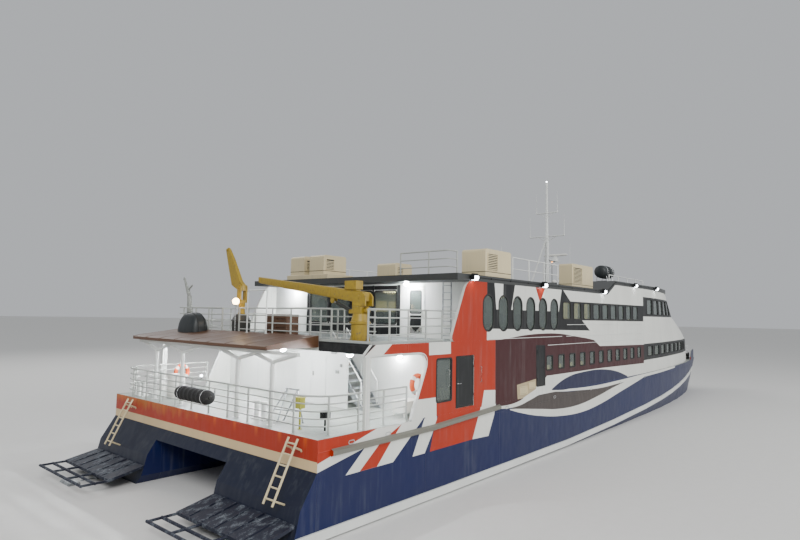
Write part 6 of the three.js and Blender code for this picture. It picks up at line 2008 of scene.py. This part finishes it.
guard_paint = sprayed_paint("sprayed_guard_paint", "#10162a")
GUARD_END, GUARD_MID = -2.72, -1.85
GUARD_Y = (2.3, 6.2)
GUARD_FORE_Z, GUARD_AFT_Z = MAIN - 2.2, MAIN - 2.45
pipe_z = GUARD_AFT_Z + 0.05
root = transom_x(GUARD_FORE_Z) - 0.001
GUARD_PLATE = [(GUARD_MID, GUARD_AFT_Z), (root, GUARD_FORE_Z),
               (transom_x(GUARD_FORE_Z + 0.1) - 0.001, GUARD_FORE_Z + 0.1), (GUARD_MID, GUARD_AFT_Z + 0.1)]
GUARD_RIB = [(GUARD_MID + 0.05, GUARD_AFT_Z + 0.09), (root - 0.01, GUARD_FORE_Z + 0.09),
             (root - 0.01, GUARD_FORE_Z + 0.14), (GUARD_MID + 0.05, GUARD_AFT_Z + 0.13)]
for side, s in SIDES.items():
    bm = bmesh.new()
    low, high = sorted(s * y for y in GUARD_Y)
    plate(bm, GUARD_PLATE, low, high)
    for i in range(1, 6):
        y = low + (high - low) * i / 6
        plate(bm, GUARD_RIB, y - 0.015, y + 0.015)
    for t in (0.012, 0.34, 0.67, 0.988):
        y = s * (GUARD_Y[0] + (GUARD_Y[1] - GUARD_Y[0]) * t)
        tube(bm, [(GUARD_MID + 0.1, y, pipe_z), (GUARD_END, y, pipe_z)], 0.04, 14)
    for x in (GUARD_END, (GUARD_END + GUARD_MID) / 2):
        tube(bm, [(x, low, pipe_z), (x, high, pipe_z)], 0.048, 16)
    piece(f"jet_guard_frame_{side}", bm, guard_paint, bevel=0.01,
          replaces=[f"jet_guard_{side}"])
print("guards made")

# %% [markdown]
# ## Transom ladders
# A raked ladder of round tube leads from the deck to the water on each side. Its struts have to
# land on the sloping transom, so each grows in small steps until it meets the plate.

# %% Ladders
bm = bmesh.new()
for y in (4.7, -5.4):
    top, foot = Vector((-0.14, y, MAIN - 0.04)), Vector((-0.95, y, MAIN - 1.7))
    reach = Vector((top.z - foot.z, 0, foot.x - top.x)).normalized()
    for stile in (Vector((0, -0.2, 0)), Vector((0, 0.2, 0))):
        tube(bm, [top + stile, foot + stile], 0.034, 14)
        for t in (0.13, 0.92):
            start = top.lerp(foot, t) + stile
            end = start + reach * 0.02
            while end.x < transom_x(end.z) and (end - start).length < 0.7:
                end = end + reach * 0.02
            tube(bm, [start, end], 0.03, 10)
            disc(bm, end, 0.05, -0.02, 0, -reach, 12)
    for i in range(6):
        rung = top.lerp(foot, (i + 0.5) / 6)
        tube(bm, [rung - stile, rung + stile], 0.025, 12)
piece("transom_ladder_tubes", bm, cream_enamel,
      replaces=["transom_ladder_port", "transom_ladder_starboard"])
print("ladders made")

# %% [markdown]
# ## Saloon insides
# Rows of moulded seats and lit ceiling strips show through the glass, and a helm console with two
# chairs stands in the wheelhouse. They could be a picture behind the panes, but real shapes move
# against the window frames when the view turns, so low ones are worth their faces.

# %% Seats, ceiling strips and helm
SEAT_LINE = [(0.42, 0.40), (0.46, 0.43), (0.30, 0.44), (0.1, 0.43), (0.03, 0.47), (0.0, 0.6), (-0.07, 0.95),
             (-0.10, 1.08)]
SEAT_SHELL = SEAT_LINE + [(u - 0.02, v - 0.03) for u, v in reversed(SEAT_LINE)]


def moulded_seat(bm, x, y, deck):
    """A seat shell on a leg, facing forward: a smooth bent sheet 3 cm thick."""
    plate(bm, SEAT_SHELL, y - 0.23, y + 0.23, at=(x, deck))
    block(bm, (x + 0.12, y - 0.02, deck), (x + 0.18, y + 0.02, deck + 0.42))


ROW_PITCH, LAMP_PITCH = 0.95, 2.6
SALOON_HALF, BOW_TAPER_X = 5.6, 30
# Columns: name, deck, first x, last x.
SALOONS = [("main_saloon", MAIN, 7.0, 40.0), ("upper_saloon", UPPER, 10.2, 30.0)]
for name, deck, first, last in SALOONS:
    bm, strips = bmesh.new(), bmesh.new()
    for i in range(int((last - first) / ROW_PITCH)):
        x = first + ROW_PITCH * i
        reach = SALOON_HALF - 0.32 * max(0, x - BOW_TAPER_X)
        for k in range(5):
            y = 0.95 + 0.5 * k + (0.7 if k > 1 else 0)
            if y + 0.3 < reach:
                for s in (1, -1):
                    moulded_seat(bm, x, s * y, deck + 0.002)
    piece(f"{name}_seats", bm, seat_shell)
    for i in range(int((last - first) / LAMP_PITCH)):
        x = first + 1.0 + LAMP_PITCH * i
        if deck == UPPER and 20.5 < x < 23:
            continue
        ceiling = UPPER - 0.33 if deck == MAIN else (ROOF_AFT if x < 20.5 else ROOF_FORE) - 0.25
        for y in (-3.4, -1.1, 1.1, 3.4):
            block(strips, (x - 0.5, y - 0.05, ceiling - 0.05), (x + 0.5, y + 0.05, ceiling - 0.006))
    piece(f"{name}_ceiling_strips", strips, strip_lens, bevel=0.012)

bm = bmesh.new()
DESK = [(36.4, 0.002), (37.6, 0.002), (37.6, 1.0), (37.2, 1.18), (36.7, 1.05), (36.5, 0.8)]
plate(bm, DESK, -1.7, 1.7, at=(0, UPPER))
for y in (-0.7, 0.7):
    turned(bm, [(0, 0.002), (0.25, 0.002), (0.25, 0.03), (0.06, 0.05), (0.06, 0.5), (0, 0.5)],
           (35.6, y, UPPER), sides=20)
    moulded_seat(bm, 35.45, y, UPPER + 0.1)
piece("helm_console", bm, dark_gel, bevel=0.02)
print("insides made, saloons:", len(SALOONS))

# %% [markdown]
# ## Blinds and the side door
# Pleated blinds are drawn in the first three upper windows and stand low in four of the row below,
# and the cabin light behind them makes them glow. Forward of the dark wave's edge a flush door
# leads to the fuel station.

# %% Blinds, side door and side vents
PLEAT = 0.04


def pleated(bm, x0, x1, s, low, high):
    """A pleated sheet that hangs behind the side's glass."""
    count = int((x1 - x0) / PLEAT)
    fold = [(x0 + (x1 - x0) * i / count, s * (6.1 - 0.03 * (i % 2))) for i in range(count + 1)]
    plate(bm, fold + [(x, y - s * 0.006) for x, y in reversed(fold)], low, high, "z")


for side, s in SIDES.items():
    bm = bmesh.new()
    for i in range(3):
        x = 16.0 + 1.25 * i
        pleated(bm, x - 0.5, x + 0.5, s, UPPER + 0.8, UPPER + 1.78)
    for i in range(4):
        x = 14.1 + 1.25 * i
        pleated(bm, x - 0.38, x + 0.38, s, MAIN + 1.0, MAIN + 1.24)
    piece(f"pleated_blinds_{side}", bm, glowing_blind)

    bm, grille = bmesh.new(), bmesh.new()
    face = s * (SIDE_Y + 0.0005)
    edging(bm, (13.21, MAIN + 1.28), (0.8, 1.76, 0.05), (0.87, 1.83, 0.08), face, face + s * 0.008)
    lever(bm, (13.52, face, MAIN + 1.2), (0, s, 0), AFT, 0.14)
    for z in (0.7, 1.9):
        hinge(bm, 12.86, s * (SIDE_Y + 0.002), z, 0.08, 0.014)
    piece(f"side_door_fittings_{side}", bm, black_enamel, bevel=0.002)
    for x0, x1, z0, z1 in ((11.25, 11.95, 0.16, 0.5), (12.05, 12.62, 0.34, 0.62)):
        louvres(grille, x0, x1, face, s, MAIN + z0, MAIN + z1, 0.05)
    piece(f"side_grilles_{side}", grille, cream_enamel)

    bm = bmesh.new()
    for x0, x1, z in ((8.75, 15.4, UPPER + 0.03), (15.9, 27.3, UPPER + 0.03), (16.0, 27.3, MAIN + 3.12),
                      (13.9, 27.3, MAIN + 2.18)):
        tube(bm, [(x, s * (SIDE_Y + 0.004), z) for x in (x0, x1)], 0.014, 8)
    piece(f"drip_rails_{side}", bm, bar_enamel)

    bm = bmesh.new()
    behind = s * (SIDE_Y - 0.01)
    for x in (1.3, 2.9, 10.2, 14.6, 18.9, 23.2, 27.6):
        edging(bm, (x, MAIN - 0.24), (0.2, 0.07, 0.03), (0.25, 0.12, 0.05), behind, s * (SIDE_Y + 0.006))
    grip = [(behind, 0.95), (s * (SIDE_Y + 0.05), 0.98), (s * (SIDE_Y + 0.05), 1.52), (behind, 1.55)]
    for x in (6.1, 8.2):
        tube(bm, [(x, y, MAIN + z) for y, z in grip], 0.014, 10)
    piece(f"scuppers_and_grips_{side}", bm, stainless_steel)
print("sides fitted out")

# %% [markdown]
# ## Bow gear
# Each hull's bow carries a small windlass with a rope drum, a pair of mooring posts and their
# foot plate. One profile turned about the ship's breadth gives the drum and its flanges.

# %% Bow gear
WINDLASS_X = 45.1
ROPE_DRUM = [(0, -0.34), (0.2, -0.34), (0.21, -0.3), (0.13, -0.26), (0.12, -0.12), (0.13, -0.08),
             (0.22, -0.06), (0.22, 0), (0.13, 0.02), (0.12, 0.2), (0.2, 0.24), (0.2, 0.28), (0, 0.28)]
BOLLARD = [(0, 0.002), (0.08, 0.002), (0.07, 0.04), (0.065, 0.3), (0.09, 0.33), (0.08, 0.37), (0, 0.38)]
bm = bmesh.new()
for s in (1, -1):
    x, y = WINDLASS_X, s * 4.28
    block(bm, (x - 0.4, y - 0.3, MAIN + 0.001), (x + 0.3, y + 0.3, MAIN + 0.16))
    turned(bm, ROPE_DRUM, (x, y, MAIN + 0.36), ALONG_Y, 28)
    casing(bm, x - 0.38, x - 0.05, y - 0.1, y + 0.16, MAIN + 0.15, MAIN + 0.58, 0.08)
    for dx in (0.75, 1.15):
        turned(bm, BOLLARD, (x + dx, y, MAIN), sides=22)
    block(bm, (x + 0.6, y - 0.12, MAIN + 0.001), (x + 1.3, y + 0.12, MAIN + 0.02))
piece("bow_windlasses", bm, dark_enamel, bevel=0.008)
print("bow gear made")

# %% [markdown]
# ## Wipers
# The wheelhouse windows ahead have wipers. Their arms and blades follow the raked and curved
# glass, so every point is found on the front's face and then lifted a little.

# %% Wipers
bm = bmesh.new()
for y, wide in AHEAD[:2]:
    for s in (1, -1):
        base_z, tip_y = MAIN + 3.72, y + wide * 0.1
        start = Vector((face_ahead(WHEELHOUSE, y, base_z) + 0.02, s * (y - wide * 0.35), base_z))
        tip = (face_ahead(WHEELHOUSE, tip_y, MAIN + 4.35) + 0.01, s * tip_y, MAIN + 4.35)
        turned(bm, [(0, 0), (0.03, 0), (0.03, 0.03), (0, 0.04)], start - Vector((0.02, 0, 0)),
               (1, 0, 0.4), 14)
        tube(bm, [start, tip], 0.009, 8)
        tube(bm, [(face_ahead(WHEELHOUSE, tip_y, MAIN + h) + 0.004, s * tip_y, MAIN + h)
                  for h in (3.95, 4.35, 4.7)], 0.011, 8)
piece("wipers", bm, gasket_rubber)
print("wipers made")
